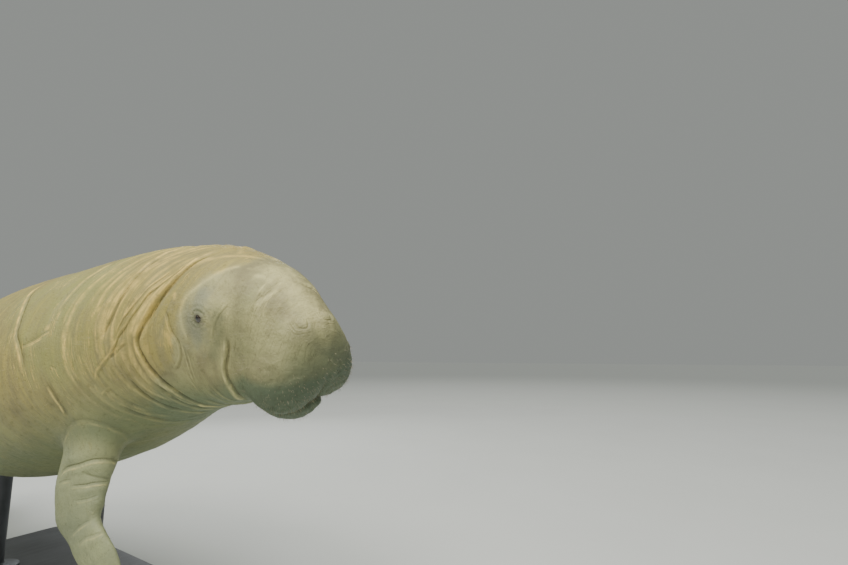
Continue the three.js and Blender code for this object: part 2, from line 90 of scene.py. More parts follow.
# Soft forms of the head: place, radii, blend, and whether it is paired
HEAD_FORMS = [
    ((256, 0, 58), (154, 126, 108), 60, False),  # crown
    ((160, 0, 48), (116, 94, 85), 50, False),  # bridge of the snout
    ((90, 0, -22), (94, 109, 96), 40, False),  # muzzle
    ((87, 53, -57), (75, 64, 70), 22, True),  # hanging upper lip
    ((60, 26, 28), (46, 36, 38), 26, True),  # mound round a nostril
    ((230, 72, -46), (96, 62, 88), 40, True),  # cheek
    ((222, 98, 62), (48, 30, 38), 30, True),  # orbit
]
JAW = ((137, 0, -118), (87, 66, 59))
JAW_BLEND = 7

EYE = {"station": 222, "height": 66, "radius": 13, "sunk": 9}
NOSTRIL_AIM = (58, 23, 44)
RING_SPACING = 5.3  # of the fine rings of skin round a nostril

# Flippers: centre line, the way the trailing edge faces, and its turn in degrees
FLIPPER_HALF_WIDTH = [74, 71, 77, 77, 58, 75, 54]
FLIPPER_HALF_THICK = [58, 50, 38, 30, 23, 17, 11]
TIP_ROUND_FROM = 0.8
FLIPPERS = {
    "right": {
        "line": [(694, -122, -120), (708, -184, -232), (736, -212, -306), (734, -233, -372),
                 (714, -242, -424), (648, -251, -509), (594, -266, -590)],
        "edge": (1, 0, 0),
        "turn": [8, 10, 8, 4, 0, -2, -2],
    },
    "left": {
        "line": [(660, 130, -56), (716, 236, -92), (790, 306, -112), (872, 344, -124),
                 (956, 366, -132), (1040, 378, -138), (1120, 382, -142)],
        "edge": (0, 0, 1),
        "turn": [-16, -20, -24, -26, -28, -28, -28],
    },
}
WIDTH_HELD_FROM = 0.9  # share of a flipper from which its outline is rounded off alone
FLIPPER_FILLET = 46
ROOT_ZONE = {"from": 520, "to": 900, "aside": 40}
ROOT_SHARE = 0.5  # no root of a flipper reaches past this share of it
ROOT_ROUNDS = 14
NAILS = [
    {"along": 0.9, "across": -0.72, "length": 22, "width": 15},
    {"along": 0.94, "across": -0.28, "length": 26, "width": 18},
    {"along": 0.94, "across": 0.22, "length": 26, "width": 18},
    {"along": 0.9, "across": 0.66, "length": 20, "width": 14},
]
NAIL_THICK = 7

# Pose: degrees along the spine
NOSE_UP = [
    (0, -14), (250, -13), (400, -3), (700, 13), (1000, 13), (1600, 13), (2000, 18), (2300, 20), (2800, 8),
]
TURN_LEFT = [(0, -1), (300, -1), (600, 0), (900, 0), (1900, 0), (2300, 3), (2800, 6)]
BANK_RIGHT = [(0, 18), (300, 18), (700, 11), (1200, 4), (2000, 2), (2800, 0)]
POSE_STATION = 1250
AXIS_HEIGHT = 740
SPINE_STEP = 10
ROD_STATIONS = (1085, 1790)

# Skin mesh
SIDES = 256  # columns round the body; the face's grid has a quarter of them on a side
SKIN_ZONES = [(130, 380, 4.1), (380, 660, 4.4), (660, 900, 6.4), (900, 1000, 10), (1000, 2560, 15.6)]
COARSE_FROM = 1000  # behind here the columns stand twice as far apart
TAIL_ROUND_STEPS = 20
TAIL_LAST_DEGREES = 87
FLIPPER_MESH = {"sides": 56, "rings": 108}
FLIPPER_END = 0.997
WALK_STEP = 12.0
WALK_HALVINGS = 13
CHUNK = 20000  # points looked at together
REFINED_FACE = -0.128
REFINED_ROUND = [("eyes", 0.042), ("nostrils", 0.027), ("eyes", 0.024)]


# Profiles and fields

def profile(points):
    """A smooth line through the points, for arrays of stations."""
    points = np.array(points, float)
    stations, values = points.T
    last = len(points) - 1
    before = np.maximum(np.arange(last + 1) - 1, 0)
    after = np.minimum(np.arange(last + 1) + 1, last)
    slopes = (values[after] - values[before]) / (stations[after] - stations[before])

    def at(station):
        station = np.clip(np.asarray(station, float), stations[0], stations[-1])
        i = np.clip(np.searchsorted(stations, station, side="right") - 1, 0, last - 1)
        span = stations[i + 1] - stations[i]
        t = (station - stations[i]) / span
        rise = values[i] * (2 * t**3 - 3 * t**2 + 1) + values[i + 1] * (3 * t**2 - 2 * t**3)
        return rise + span * (slopes[i] * (t**3 - 2 * t**2 + t) + slopes[i + 1] * (t**3 - t**2))

    return at


back_at = profile(BACK)
belly_at = profile(BELLY)
half_width_at = profile(HALF_WIDTH)


def smooth(low, high, value):
    t = np.clip((value - low) / (high - low), 0, 1)
    return t * t * (3 - 2 * t)


def bump(value, width):
    return np.exp(-((value / width) ** 2))


def section_at(station):
    past = np.clip((station - TAIL_ROUND_FROM) / (BODY_LENGTH - TAIL_ROUND_FROM), 0, 1)
    end = np.sqrt(1 - past**2)
    back, belly = back_at(station), belly_at(station)
    return (back + belly) / 2, (back - belly) / 2 * np.sqrt(end), half_width_at(station) * end


def ellipsoid_field(points, place, radii):
    q = (points - np.array(place)) / np.array(radii)
    near = np.linalg.norm(q, axis=-1)
    return near * (near - 1) / (np.linalg.norm(q / np.array(radii), axis=-1) + 1e-9)


def blend(a, b, reach):
    share = np.maximum(reach - np.abs(a - b), 0) / reach
    return np.minimum(a, b) - share**2 * reach / 4


def trunk_field(points):
    station, across, height = points.T
    middle, tall, wide = section_at(np.maximum(station, TRUNK_FRONT))
    ahead = np.maximum(TRUNK_FRONT - station, 0) / TRUNK_NOSE
    out = np.sqrt((across / wide) ** 2 + ((height - middle) / tall) ** 2 + ahead**2)
    return (out - 1) * np.minimum(wide, tall)


def upper_field(points):
    field = trunk_field(points)
    mirrored = points * (1, 0, 1) + np.abs(points) * (0, 1, 0)
    for place, radii, reach, paired in HEAD_FORMS:
        form = ellipsoid_field(mirrored if paired else points, place, radii)
        field = blend(field, form, reach)
    return field


def jaw_field(points):
    return ellipsoid_field(points, *JAW)


def body_field(points):
    field = trunk_field(points)
    head = points[:, 0] < HEAD_REACH
    field[head] = blend(upper_field(points[head]), jaw_field(points[head]), JAW_BLEND)
    return field


def walk_to_skin(origins, directions):
    """Where rays that start inside the body leave it."""
    inside = np.zeros(len(origins))
    outside = np.full(len(origins), WALK_STEP)
    while True:
        within = body_field(origins + directions * outside[:, None]) < 0
        if not within.any():
            break
        inside = np.where(within, outside, inside)
        outside = np.where(within, outside + WALK_STEP, outside)
    for _ in range(WALK_HALVINGS):
        middle = (inside + outside) / 2
        within = body_field(origins + directions * middle[:, None]) < 0
        inside = np.where(within, middle, inside)
        outside = np.where(within, outside, middle)
    return origins + directions * outside[:, None]


def slope_of(field, points, step=0.6):
    slopes = [
        (field(points + step * axis) - field(points - step * axis)) / (2 * step) for axis in np.eye(3)
    ]
    return np.stack(slopes, axis=1)


def settle(field, points, rounds=3):
    """Moves points onto the zero of a field."""
    for _ in range(rounds):
        slopes = slope_of(field, points)
        size = np.maximum((slopes**2).sum(1), 0.05)
        points = points - slopes * (field(points) / size)[:, None]
    return points


# Noise

HASH_STEPS = np.array([374761393, 668265263, 1440662683])
HASH_SEED, HASH_STIR, LOW_BITS = 1274126177, 1103515245, 0xFFFFFFFF
OCTAVES = (1, 2, 4)


def noise(points, seed):
    """Smooth value noise between -1 and 1, with a lattice of one unit."""
    cell = np.floor(points).astype(np.int64)
    t = points - cell
    t = t * t * (3 - 2 * t)
    total = np.zeros(len(points))
    for corner in np.ndindex(2, 2, 2):
        mixed = ((cell + corner) @ HASH_STEPS + (seed + SEED) * HASH_SEED) & LOW_BITS
        mixed = ((mixed ^ (mixed >> 13)) * HASH_STIR) & LOW_BITS
        value = ((mixed ^ (mixed >> 16)) & 0xFFFF) / 32767.5 - 1
        total += value * np.prod(np.where(corner, t, 1 - t), axis=1)
    return total


def layered_noise(points, seed):
    total = sum(noise(points * finer, seed + i) / finer for i, finer in enumerate(OCTAVES))
    return total / sum(1 / finer for finer in OCTAVES)


# Meshes of the body and the flippers, still straight

def to_blender(straight):
    """Straight millimetres to metres with the nose towards +X."""
    return straight * (-MM, MM, MM)


def from_blender(points):
    return points / (-MM, MM, MM)


def link(name, data):
    thing = bpy.data.objects.new(name, data)
    bpy.context.scene.collection.objects.link(thing)
    return thing


def mesh_object(name, points, faces):
    mesh = bpy.data.meshes.new(name)
    mesh.from_pydata(points, [], faces)
    mesh.update()
    return link(name, mesh)


def add_new(operator, name, **settings):
    """A new primitive, alone in the selection."""
    bpy.ops.object.select_all(action="DESELECT")
    operator(**settings)
    piece = bpy.context.object
    piece.name = name
    return piece


@contextmanager
def shell_of(piece):
    """The piece's mesh, open for edits."""
    shell = bmesh.new()
    shell.from_mesh(piece.data)
    yield shell
    shell.to_mesh(piece.data)
    shell.free()


def as_faces(*blocks):
    return [face for block in blocks for face in block.tolist()]


def face_directions():
    """Ray directions of the face's square grid, whose rim is the first ring of the head."""
    side = SIDES // 4
    u, v = np.meshgrid(np.linspace(-1, 1, side + 1), np.linspace(-1, 1, side + 1), indexing="ij")
    u, v = u.ravel(), v.ravel()
    wide = np.abs(u) >= np.abs(v)
    radius = np.where(wide, u, v)
    safe = np.where(radius == 0, 1, radius)
    angle = np.where(wide, math.pi / 4 * v / safe, math.pi / 2 - math.pi / 4 * u / safe)
    angle = np.where(radius < 0, angle + math.pi, angle)
    tilt = np.abs(radius) * math.pi / 2
    directions = np.stack([-np.cos(tilt), np.sin(tilt) * np.cos(angle), np.sin(tilt) * np.sin(angle)], 1)
    return directions, np.abs(radius) > 1 - 1e-9, np.mod(angle, 2 * math.pi)


def skin_stations():
    runs = [np.arange(low, high, step) for low, high, step in SKIN_ZONES]
    turns = np.radians(np.linspace(0, TAIL_LAST_DEGREES, TAIL_ROUND_STEPS))
    return np.concatenate([*runs, TAIL_ROUND_FROM + (BODY_LENGTH - TAIL_ROUND_FROM) * np.sin(turns)])


def axis_height(station):
    """Height of the line that the skin is measured from: low in the head, central in the body."""
    lift = smooth(HEAD_AXIS_STATION, HEAD_END, station)
    return HEAD_AXIS_HEIGHT * (1 - lift) + section_at(station)[0] * lift


def ring_points(stations):
    angles = np.arange(SIDES) / SIDES * 2 * math.pi
    station = np.repeat(stations, SIDES)
    middle, tall, wide = section_at(station)
    across = wide * np.tile(np.cos(angles), len(stations))
    height = tall * np.tile(np.sin(angles), len(stations))
    rings = np.stack([station, across, middle + height], 1)
    head = station < HEAD_REACH
    axis = axis_height(station[head])
    length = np.hypot(across[head], height[head])
    directions = np.stack([np.zeros(len(axis)), across[head] / length, height[head] / length], 1)
    origins = np.stack([station[head], np.zeros(len(axis)), axis], 1)
    rings[head] = walk_to_skin(origins, directions)
    return rings


def body_mesh():
    directions, rim, angles = face_directions()
    stations = skin_stations()
    rings = ring_points(stations)
    inner = np.where(~rim)[0]
    origin = np.array([HEAD_AXIS_STATION, 0, HEAD_AXIS_HEIGHT], float)
    face = walk_to_skin(np.repeat(origin[None], len(inner), 0), directions[inner])
    points = np.concatenate([rings, face, rings[-SIDES:].mean(0)[None]])
    number = np.zeros(len(directions), int)
    number[inner] = len(rings) + np.arange(len(inner))
    columns = np.round(angles[rim] / (2 * math.pi) * SIDES).astype(int) % SIDES
    number[rim] = columns
    side = SIDES // 4 + 1
    grid = number.reshape(side, side)
    quads = np.stack([grid[:-1, :-1], grid[:-1, 1:], grid[1:, 1:], grid[1:, :-1]], -1).reshape(-1, 4)
    fine = int((stations < COARSE_FROM).sum())
    every, second = np.arange(SIDES), np.arange(0, SIDES, 2)
    tube = tube_faces(np.arange(fine - 1) * SIDES, every, (every + 1) % SIDES)
    after = (second + 2) % SIDES
    rear = tube_faces(np.arange(fine, len(stations) - 1) * SIDES, second, after)
    row = (fine - 1) * SIDES
    below = row + SIDES
    seam = np.stack([row + second, row + second + 1, row + after, below + after, below + second], -1)
    last = (len(stations) - 1) * SIDES
    cap = np.stack([last + second, last + after, np.full(len(second), len(points) - 1)], -1)
    return mesh_object("skin", *used_points(to_blender(points), as_faces(quads, tube, seam, rear, cap)))


def tube_faces(starts, here, ahead, sides=SIDES):
    starts = np.asarray(starts)[:, None]
    faces = np.stack([starts + here, starts + ahead, starts + sides + ahead, starts + sides + here], -1)
    return faces.reshape(-1, 4)


def used_points(points, faces):
    """The points that a face uses, and the faces numbered for them."""
    used = np.unique([corner for face in faces for corner in face])
    number = np.zeros(len(points), int)
    number[used] = np.arange(len(used))
    number = number.tolist()
    return points[used], [[number[corner] for corner in face] for face in faces]


def curve_points(controls, shares):
    """A centripetal curve through the control points."""
    controls = np.array(controls, float)
    ends = [2 * controls[0] - controls[1], 2 * controls[-1] - controls[-2]]
    padded = np.vstack([ends[0], controls, ends[1]])
    place = np.clip(shares, 0, 1) * (len(controls) - 1)
    i = np.minimum(place.astype(int), len(controls) - 2)
    t = (place - i)[:, None]
    p0, p1, p2, p3 = (padded[i + k] for k in range(4))
    d0, d1, d2 = (np.linalg.norm(b - a, axis=1)[:, None] ** 0.5 for a, b in ((p0, p1), (p1, p2), (p2, p3)))
    out = ((p1 - p0) / d0 - (p2 - p0) / (d0 + d1) + (p2 - p1) / d1) * d1
    back = ((p2 - p1) / d1 - (p3 - p1) / (d1 + d2) + (p3 - p2) / d2) * d1
    third = 2 * p1 - 2 * p2 + out + back
    second = -3 * p1 + 3 * p2 - 2 * out - back
    return p1 + out * t + second * t**2 + third * t**3


def mix_at(values, shares):
    place = np.clip(shares, 0, 1) * (len(values) - 1)
    i = np.minimum(place.astype(int), len(values) - 2)
    values = np.array(values, float)
    return values[i] + (values[i + 1] - values[i]) * smooth(0, 1, place - i)


def unit(vectors):
    return vectors / np.linalg.norm(vectors, axis=-1, keepdims=True)


def flipper_frames(flipper, shares):
    """Centres, directions and half sizes of a flipper's sections."""
    shares = np.asarray(shares, float)
    centre = curve_points(flipper["line"], shares)
    step = 0.004
    along = unit(curve_points(flipper["line"], shares + step) - curve_points(flipper["line"], shares - step))
    edge = np.array(flipper["edge"], float)
    edge = unit(edge - along * (along @ edge)[:, None])
    turn = np.radians(mix_at(flipper["turn"], shares))[:, None]
    broad = edge * np.cos(turn) + np.cross(along, edge) * np.sin(turn)
    flat = np.cross(along, broad)
    past = np.clip((shares - TIP_ROUND_FROM) / (1 - TIP_ROUND_FROM), 0, 1)
    end = np.sqrt(np.maximum(1 - past**2, 0))
    width = mix_at(FLIPPER_HALF_WIDTH, np.minimum(shares, WIDTH_HELD_FROM)) * end
    thick = mix_at(FLIPPER_HALF_THICK, shares) * np.sqrt(end)
    return {"centre": centre, "along": along, "broad": broad, "flat": flat, "width": width, "thick": thick}


def flipper_mesh(name, flipper):
    sides, rings = FLIPPER_MESH["sides"], FLIPPER_MESH["rings"]
    even = np.linspace(0, 1, rings)
    shares = 0.65 * even + 0.35 * np.sin(even * math.pi / 2)
    shares *= FLIPPER_END / shares[-1]
    f = flipper_frames(flipper, shares)
    angles = np.arange(sides) / sides * 2 * math.pi
    broad = f["broad"][:, None] * (f["width"][:, None] * np.cos(angles))[..., None]
    flat = f["flat"][:, None] * (f["thick"][:, None] * np.sin(angles))[..., None]
    points = (f["centre"][:, None] + broad + flat).reshape(-1, 3)
    ends = np.stack([f["centre"][0], f["centre"][-1]])
    points = np.concatenate([points, ends])
    here = np.arange(sides)
    ahead = (here + 1) % sides
    tube = tube_faces(np.arange(rings - 1) * sides, here, ahead, sides)
    last = (rings - 1) * sides
    root_cap = np.stack([ahead, here, np.full(sides, len(points) - 2)], 1)
    tip_cap = np.stack([last + here, last + ahead, np.full(sides, len(points) - 1)], 1)
    piece = mesh_object(name, to_blender(points), as_faces(tube, root_cap, tip_cap))
    make_consistent(piece)
    return piece


def make_consistent(piece):
    """Faces point outwards on a closed mesh."""
    with shell_of(piece) as shell:
        bmesh.ops.recalc_face_normals(shell, faces=shell.faces)
        if shell.calc_volume(signed=True) < 0:
            bmesh.ops.reverse_faces(shell, faces=shell.faces)


def apply_modifier(piece, modifier):
    with bpy.context.temp_override(object=piece, active_object=piece, selected_objects=[piece]):
        bpy.ops.object.modifier_apply(modifier=modifier.name)


def unite(piece, other):
    """Joins a second closed mesh to the first and removes it."""
    modifier = piece.modifiers.new("join", "BOOLEAN")
    modifier.operation = "UNION"
    modifier.solver = "MANIFOLD"
    modifier.object = other
    apply_modifier(piece, modifier)
    bpy.data.objects.remove(other)


# Where the flippers leave the body

FLIPPER_SHARES = np.linspace(0, 1, 90)
FLIPPER_FRAMES = {side: flipper_frames(flipper, FLIPPER_SHARES) for side, flipper in FLIPPERS.items()}


def flipper_place(side, points):
    """For each point: the share along the flipper, and its place across it in half sizes."""
    f = FLIPPER_FRAMES[side]
    share = np.zeros(len(points))
    u, v, near = (np.zeros(len(points)) for _ in range(3))
    for start in range(0, len(points), CHUNK):
        chunk = slice(start, start + CHUNK)
        away = points[chunk, None] - f["centre"][None]
        i = np.argmin((away**2).sum(-1), axis=1)
        rows = np.arange(len(i))
        offset = away[rows, i]
        width = np.maximum(f["width"][i], 4)
        thick = np.maximum(f["thick"][i], 4)
        share[chunk] = FLIPPER_SHARES[i]
        u[chunk] = (offset * f["broad"][i]).sum(1) / width
        v[chunk] = (offset * f["flat"][i]).sum(1) / thick
        near[chunk] = (np.hypot(u[chunk], v[chunk]) - 1) * np.minimum(width, thick)
    return share, u, v, near


def nail_frame(side, nail):
    """Where a nail stands on the outer face of its paddle: place, across, along and out."""
    f = flipper_frames(FLIPPERS[side], np.array([nail["along"]]))
    broad, flat = f["broad"][0], f["flat"][0] * -SIDE_SIGN[side]
    rise = f["thick"][0] * math.sqrt(1 - nail["across"] ** 2)
    place = f["centre"][0] + broad * f["width"][0] * nail["across"] + flat * rise
    return place, broad, f["along"][0], flat


def rooted_field(side):
    def field(points):
        return blend(body_field(points), flipper_place(side, points)[3], FLIPPER_FILLET)
    return field


def fillet_roots(mesh, points):
    """Turns the sharp line where each flipper meets the body into a soft hollow of even faces."""
    points = points.copy()
    near_root = np.zeros(len(points))
    for side in FLIPPERS:
        near = (points[:, 0] > ROOT_ZONE["from"]) & (points[:, 0] < ROOT_ZONE["to"])
        picked = np.where(near & (points[:, 1] * SIDE_SIGN[side] > ROOT_ZONE["aside"]))[0]
        share, _, _, limb = flipper_place(side, points[picked])
        body = body_field(points[picked])
        off = np.maximum(np.abs(body), np.abs(limb))
        near_root[picked] = np.where(share < ROOT_SHARE, bump(off, FLIPPER_FILLET / 2), 0)
        picked = picked[(np.abs(body - limb) < FLIPPER_FILLET) & (share < ROOT_SHARE)]
        points[picked] = settle(rooted_field(side), points[picked], 4)
    return relax(mesh, points, near_root), near_root


def relax(mesh, points, weight):
    """Draws points towards the middle of their neighbours."""
    ends = np.empty(len(mesh.edges) * 2, np.int32)
    mesh.edges.foreach_get("vertices", ends)
    a, b = ends.reshape(-1, 2).T
    neighbours = np.bincount(ends, minlength=len(points))[:, None]
    for _ in range(ROOT_ROUNDS):
        total = np.stack([
            np.bincount(a, points[b, k], len(points)) + np.bincount(b, points[a, k], len(points))
            for k in range(3)
        ], 1)
        points = points + (total / neighbours - points) * 0.6 * weight[:, None]
    return points


# Details pressed into the skin

def unwrap(points):
    """Angle round the section in degrees (90 is the back, 180 the right side) and radius."""
    height = points[:, 2] - axis_height(points[:, 0])
    angle = np.degrees(np.arctan2(height, points[:, 1])) % 360
    return angle, np.hypot(points[:, 1], height)


def skin_point(station, height, side):
    origin = np.array([[station, 0.0, height]])
    return walk_to_skin(origin, np.array([[0.0, side, 0.0]]))[0]


def eye_place(side):
    skin = skin_point(EYE["station"], EYE["height"], side)
    normal = unit(slope_of(body_field, skin[None], 2)[0])
    return skin, normal


def nostril_place(side):
    origin = np.array([HEAD_AXIS_STATION, 0, HEAD_AXIS_HEIGHT], float)
    aim = np.array(NOSTRIL_AIM, float) * (1, side, 1) - origin
    skin = walk_to_skin(origin[None], unit(aim)[None])[0]
    return skin, unit(slope_of(body_field, skin[None], 2)[0])


def tangents(normal, hint):
    first = unit(hint - normal * (normal @ hint))
    return first, np.cross(normal, first)


EYES = {side: eye_place(sign) for side, sign in SIDE_SIGN.items()}
NOSTRILS = {side: nostril_place(sign) for side, sign in SIDE_SIGN.items()}


def refine(piece):
    """Adds faces where small forms are pressed in: the face, nostrils, eyes and lips."""
    def split(shell, chosen):
        edges = {edge for face in shell.faces if chosen(face) for edge in face.edges}
        bmesh.ops.subdivide_edges(shell, edges=list(edges), cuts=1, use_grid_fill=True)

    def near(places, reach):
        return lambda face: any((face.calc_center_median() - place).length < reach for place in places)

    spots = {
        name: [Vector(to_blender(place)) for place, _ in pair.values()]
        for name, pair in (("eyes", EYES), ("nostrils", NOSTRILS))
    }
    with shell_of(piece) as shell:
        split(shell, lambda face: face.calc_center_median().x > REFINED_FACE)
        for name, reach in REFINED_ROUND:
            split(shell, near(spots[name], reach))


SLIT_AT = 12.4  # radius of the nostril's slit
RINGS_FADE = (19, 34)


def nostril_relief(points):
    """A shut nostril: a crescent slit in front of its valve, inside rings of fine skin, with painted shade in
    the slit and between the rings.
    """
    height = np.zeros(len(points))
    bed_shade = np.zeros(len(points))
    for side, (place, normal) in NOSTRILS.items():
        forward, across = tangents(normal, np.array([-1.0, 0.25 * SIDE_SIGN[side], 0.35]))
        away = points - place
        u, v = away @ forward, away @ across
        near = np.abs(away @ normal) < 34
        turn = np.arctan2(v, u)
        wobble = 1 + 0.05 * np.sin(3 * turn + 1) + 0.03 * np.sin(5 * turn)
        r = np.hypot((u + 1.5) / 1.12, v / 0.94) * wobble
        ahead = smooth(-4, 8, u)
        slit = bump(r - SLIT_AT, 1.6) * ahead
        shape = 1.3 * bump(r, 12.5) + 1.1 * bump(r - 18, 5) * (0.4 + 0.6 * ahead) - 2.6 * slit
        shape -= 0.5 * bump(r - SLIT_AT, 2.4) * (1 - ahead)
        round_valve = np.hypot(u + 6, v * 1.08) * wobble + 1.6 * noise(points / 14, 69)
        rings = np.cos(round_valve * 2 * math.pi / RING_SPACING)
        broken = smooth(-0.75, 0.5, noise(points / 11, 67)) * smooth(2, 6, r)
        broken *= (1 - smooth(*RINGS_FADE, r)) * (1 - slit)
        shape += 0.75 * rings * broken
        height += np.where(near, shape, 0)
        # painted shade in the slit and in the hollows between rings
        bed_shade += np.where(near, 0.7 * slit + 0.6 * np.maximum(-rings, 0) * broken, 0)
    return height, bed_shade


def eye_relief(points):
    """Lids drawn round a small deep eye like the neck of a purse, with rings and rays of folds."""
    height = np.zeros(len(points))
    lid = np.zeros(len(points))
    for place, normal in EYES.values():
        forward, up = tangents(normal, np.array([-1.0, 0, -0.12]))
        if up[2] < 0:
            up = -up
        away = points - place
        u, v = away @ forward, away @ up
        near = np.abs(away @ normal) < 40
        r = np.hypot(u / 9.4, v / 7.4)
        ray = np.arctan2(v, u)
        socket = -9.0 + 11.4 * smooth(0.72, 1.0, r)
        uneven = 0.75 + 0.35 * noise(points / 11, 68)
        rings = 2.2 * bump(r - 1.0, 0.5) - 1.3 * bump(r - 2.0, 0.3) + 0.8 * bump(r - 2.6, 0.35)
        rings += (-0.8 * bump(r - 3.3, 0.32) + 0.4 * bump(r - 3.9, 0.4)) * uneven
        rays = 0.4 * np.cos(17 * ray + 3 * np.sin(2 * ray)) * bump(r - 2.1, 1.0)
        brow = 1.4 * bump(v - 24, 8) * bump(u, 26) - 1.2 * bump(v + 21, 5) * bump(u + 4, 20)
        height += np.where(near & (r < 8), np.where(r < 1, socket, rings * uneven + rays) + brow * (r > 2), 0)
        lid += np.where(near, bump(r - 1.1, 0.45), 0)
    return height, lid


# Folds on the right side, each with a partner on the left: depth, width and ridge in millimetres, how
# far its crest is paled, as skin rubbed bare and painted highlight, and a line on the skin from one
# (station, angle) to the next, where an angle of 90 is the back, 180 the flank and 270 the belly
FOLD_WIDTH = 0.86  # shares of the sizes below
FOLD_RIDGE = 0.8
SKIN_GRAIN = (4.4, 6.2, 5.2)  # size of the skin's faces in the neck, behind it and on a flipper
SLANT_SPARE = 0.55  # how much wider a fold must be to show there when it runs aslant
CREST_AT = 1.6  # widths from the bed of a fold to the crest that its line follows
CREST_SPREAD = 0.95
BED_SPREAD = 0.85
CREST_RISE = 0.4
FOLD_FADE = 0.14  # share of a fold's length over which each end fades
FOLD_FAR = 9.0
NECK_TO = 660
FOLD_LAYERS = 5  # folds that lie close to each other are drawn in different layers
FOLD_ROOM = 46
FOLDS = [
    # round the back of the head
    (6.4, 6.0, 3.4, 1.0, [(296, 90), (319, 114), (343, 135), (379, 158), (404, 172), (408, 178), (400, 187),
     (388, 201), (366, 220), (352, 244), (346, 270)]),
    (4.2, 4.6, 1.8, 0.9, [(322, 112), (340, 124), (361, 133), (388, 143), (406, 152), (430, 163),
     (460, 173), (496, 186)]),
    (3.4, 4.2, 1.5, 0.9, [(352, 122), (370, 130), (394, 138), (412, 147), (439, 159), (463, 171)]),
    (5.0, 5.6, 2.0, 0.9, [(436, 92), (448, 112), (455, 126), (463, 135), (470, 147), (483, 160),
     (507, 172)]),
    (2.0, 5.5, 2.0, 0.9, [(430, 174), (456, 178), (488, 182), (514, 186), (541, 190), (560, 196)]),
    (2.0, 5.5, 1.2, 0.6, [(526, 201), (548, 202), (570, 204)]),
    (3.0, 6, 1.4, 0.6, [(614, 110), (628, 124), (640, 133), (650, 145), (660, 156)]),
    (5.0, 7, 1.8, 0.3, [(470, 196), (462, 212), (448, 232), (440, 262)]),
    (4.5, 7, 1.6, 0.3, [(408, 206), (398, 226), (392, 262)]),
    (4.0, 8, 1.4, 0.2, [(556, 214), (540, 236), (532, 262)]),
    # between the eye and the neck
    (3.2, 4.6, 1.6, 0.5, [(335, 152), (325, 157), (313, 167), (298, 173), (295, 181), (308, 191),
     (331, 199)]),
    (2.2, 3.4, 1.1, 0.6, [(283, 172), (277, 186), (276, 197), (278, 209)]),
    (1.6, 3.2, 0.8, 0.5, [(270, 176), (264, 188), (263, 200)]),
    (1.8, 3.6, 0.8, 0.4, [(290, 196), (288, 208), (292, 220)]),
    # flank behind the flipper, and the crease that runs down to it
    (4.6, 6.5, 2.4, 1.0, [(884, 120), (880, 130), (826, 143), (799, 154), (790, 161), (769, 168),
     (757, 175), (757, 182)]),
    (2.2, 4, 1.3, 0.9, [(757, 169), (721, 168), (685, 166)]),
    (1.6, 3.6, 1.0, 0.7, [(742, 168), (703, 166), (661, 163)]),
    (3.4, 5.0, 1.8, 0.9, [(698, 190), (699, 196), (701, 202), (711, 209)]),
    (1.6, 3.5, 0.9, 0.5, [(670, 182), (660, 183), (655, 184)]),
    # face
    (1.1, 4.2, 1.3, 0.9, [(112, 118), (104, 108), (110, 98), (124, 90)]),
    (0.8, 4.0, 1.2, 0.9, [(124, 114), (131, 101), (142, 95), (157, 93)]),
    (0.8, 4.0, 1.2, 0.7, [(92, 127), (98, 121), (101, 111), (103, 100)]),
    (1.8, 4.4, 1.8, 0.9, [(166, 128), (172, 133), (180, 142), (189, 151), (195, 158)]),
    (5.6, 5.4, 3.0, 0.9, [(166, 152), (166, 168), (172, 182), (171, 194), (166, 204), (168, 218),
     (176, 232)]),
    (2.6, 5, 1.0, 0.3, [(214, 204), (206, 218), (204, 232)]),
    (3.0, 6, 1.1, 0.2, [(244, 210), (236, 226), (232, 244)]),
    # throat
    (4.5, 7, 1.6, 0.2, [(262, 236), (254, 270)]),
    (5, 8, 1.8, 0.2, [(316, 232), (306, 270)]),
    # root of the tail
    (2.2, 9, 1.0, 0.2, [(2020, 112), (2034, 146), (2040, 180), (2034, 214), (2020, 250)]),
    (2.6, 9, 1.0, 0.2, [(2092, 108), (2108, 144), (2114, 180), (2108, 216), (2092, 252)]),
    (2.2, 9, 1.0, 0.2, [(2160, 110), (2174, 146), (2178, 180), (2174, 214), (2160, 250)]),
]
FINE_FOLDS = {"count": 66, "from": 366, "to": 650, "depth": 1.4, "width": 3.7, "ridge": 0.7}
RING_BOW = 0.019  # how a ring of neck skin leans forward over the back and under the throat
RING_WIDEST = 178

# How far forward algae grow, as (angle, station)
ALGAE_EDGE = [
    (90, 206), (101, 214), (116, 232), (126, 252), (137, 272), (146, 281), (156, 284), (164, 288), (172, 297),
    (182, 300), (190, 314), (199, 348), (206, 388), (216, 430), (232, 500), (270, 560),
]

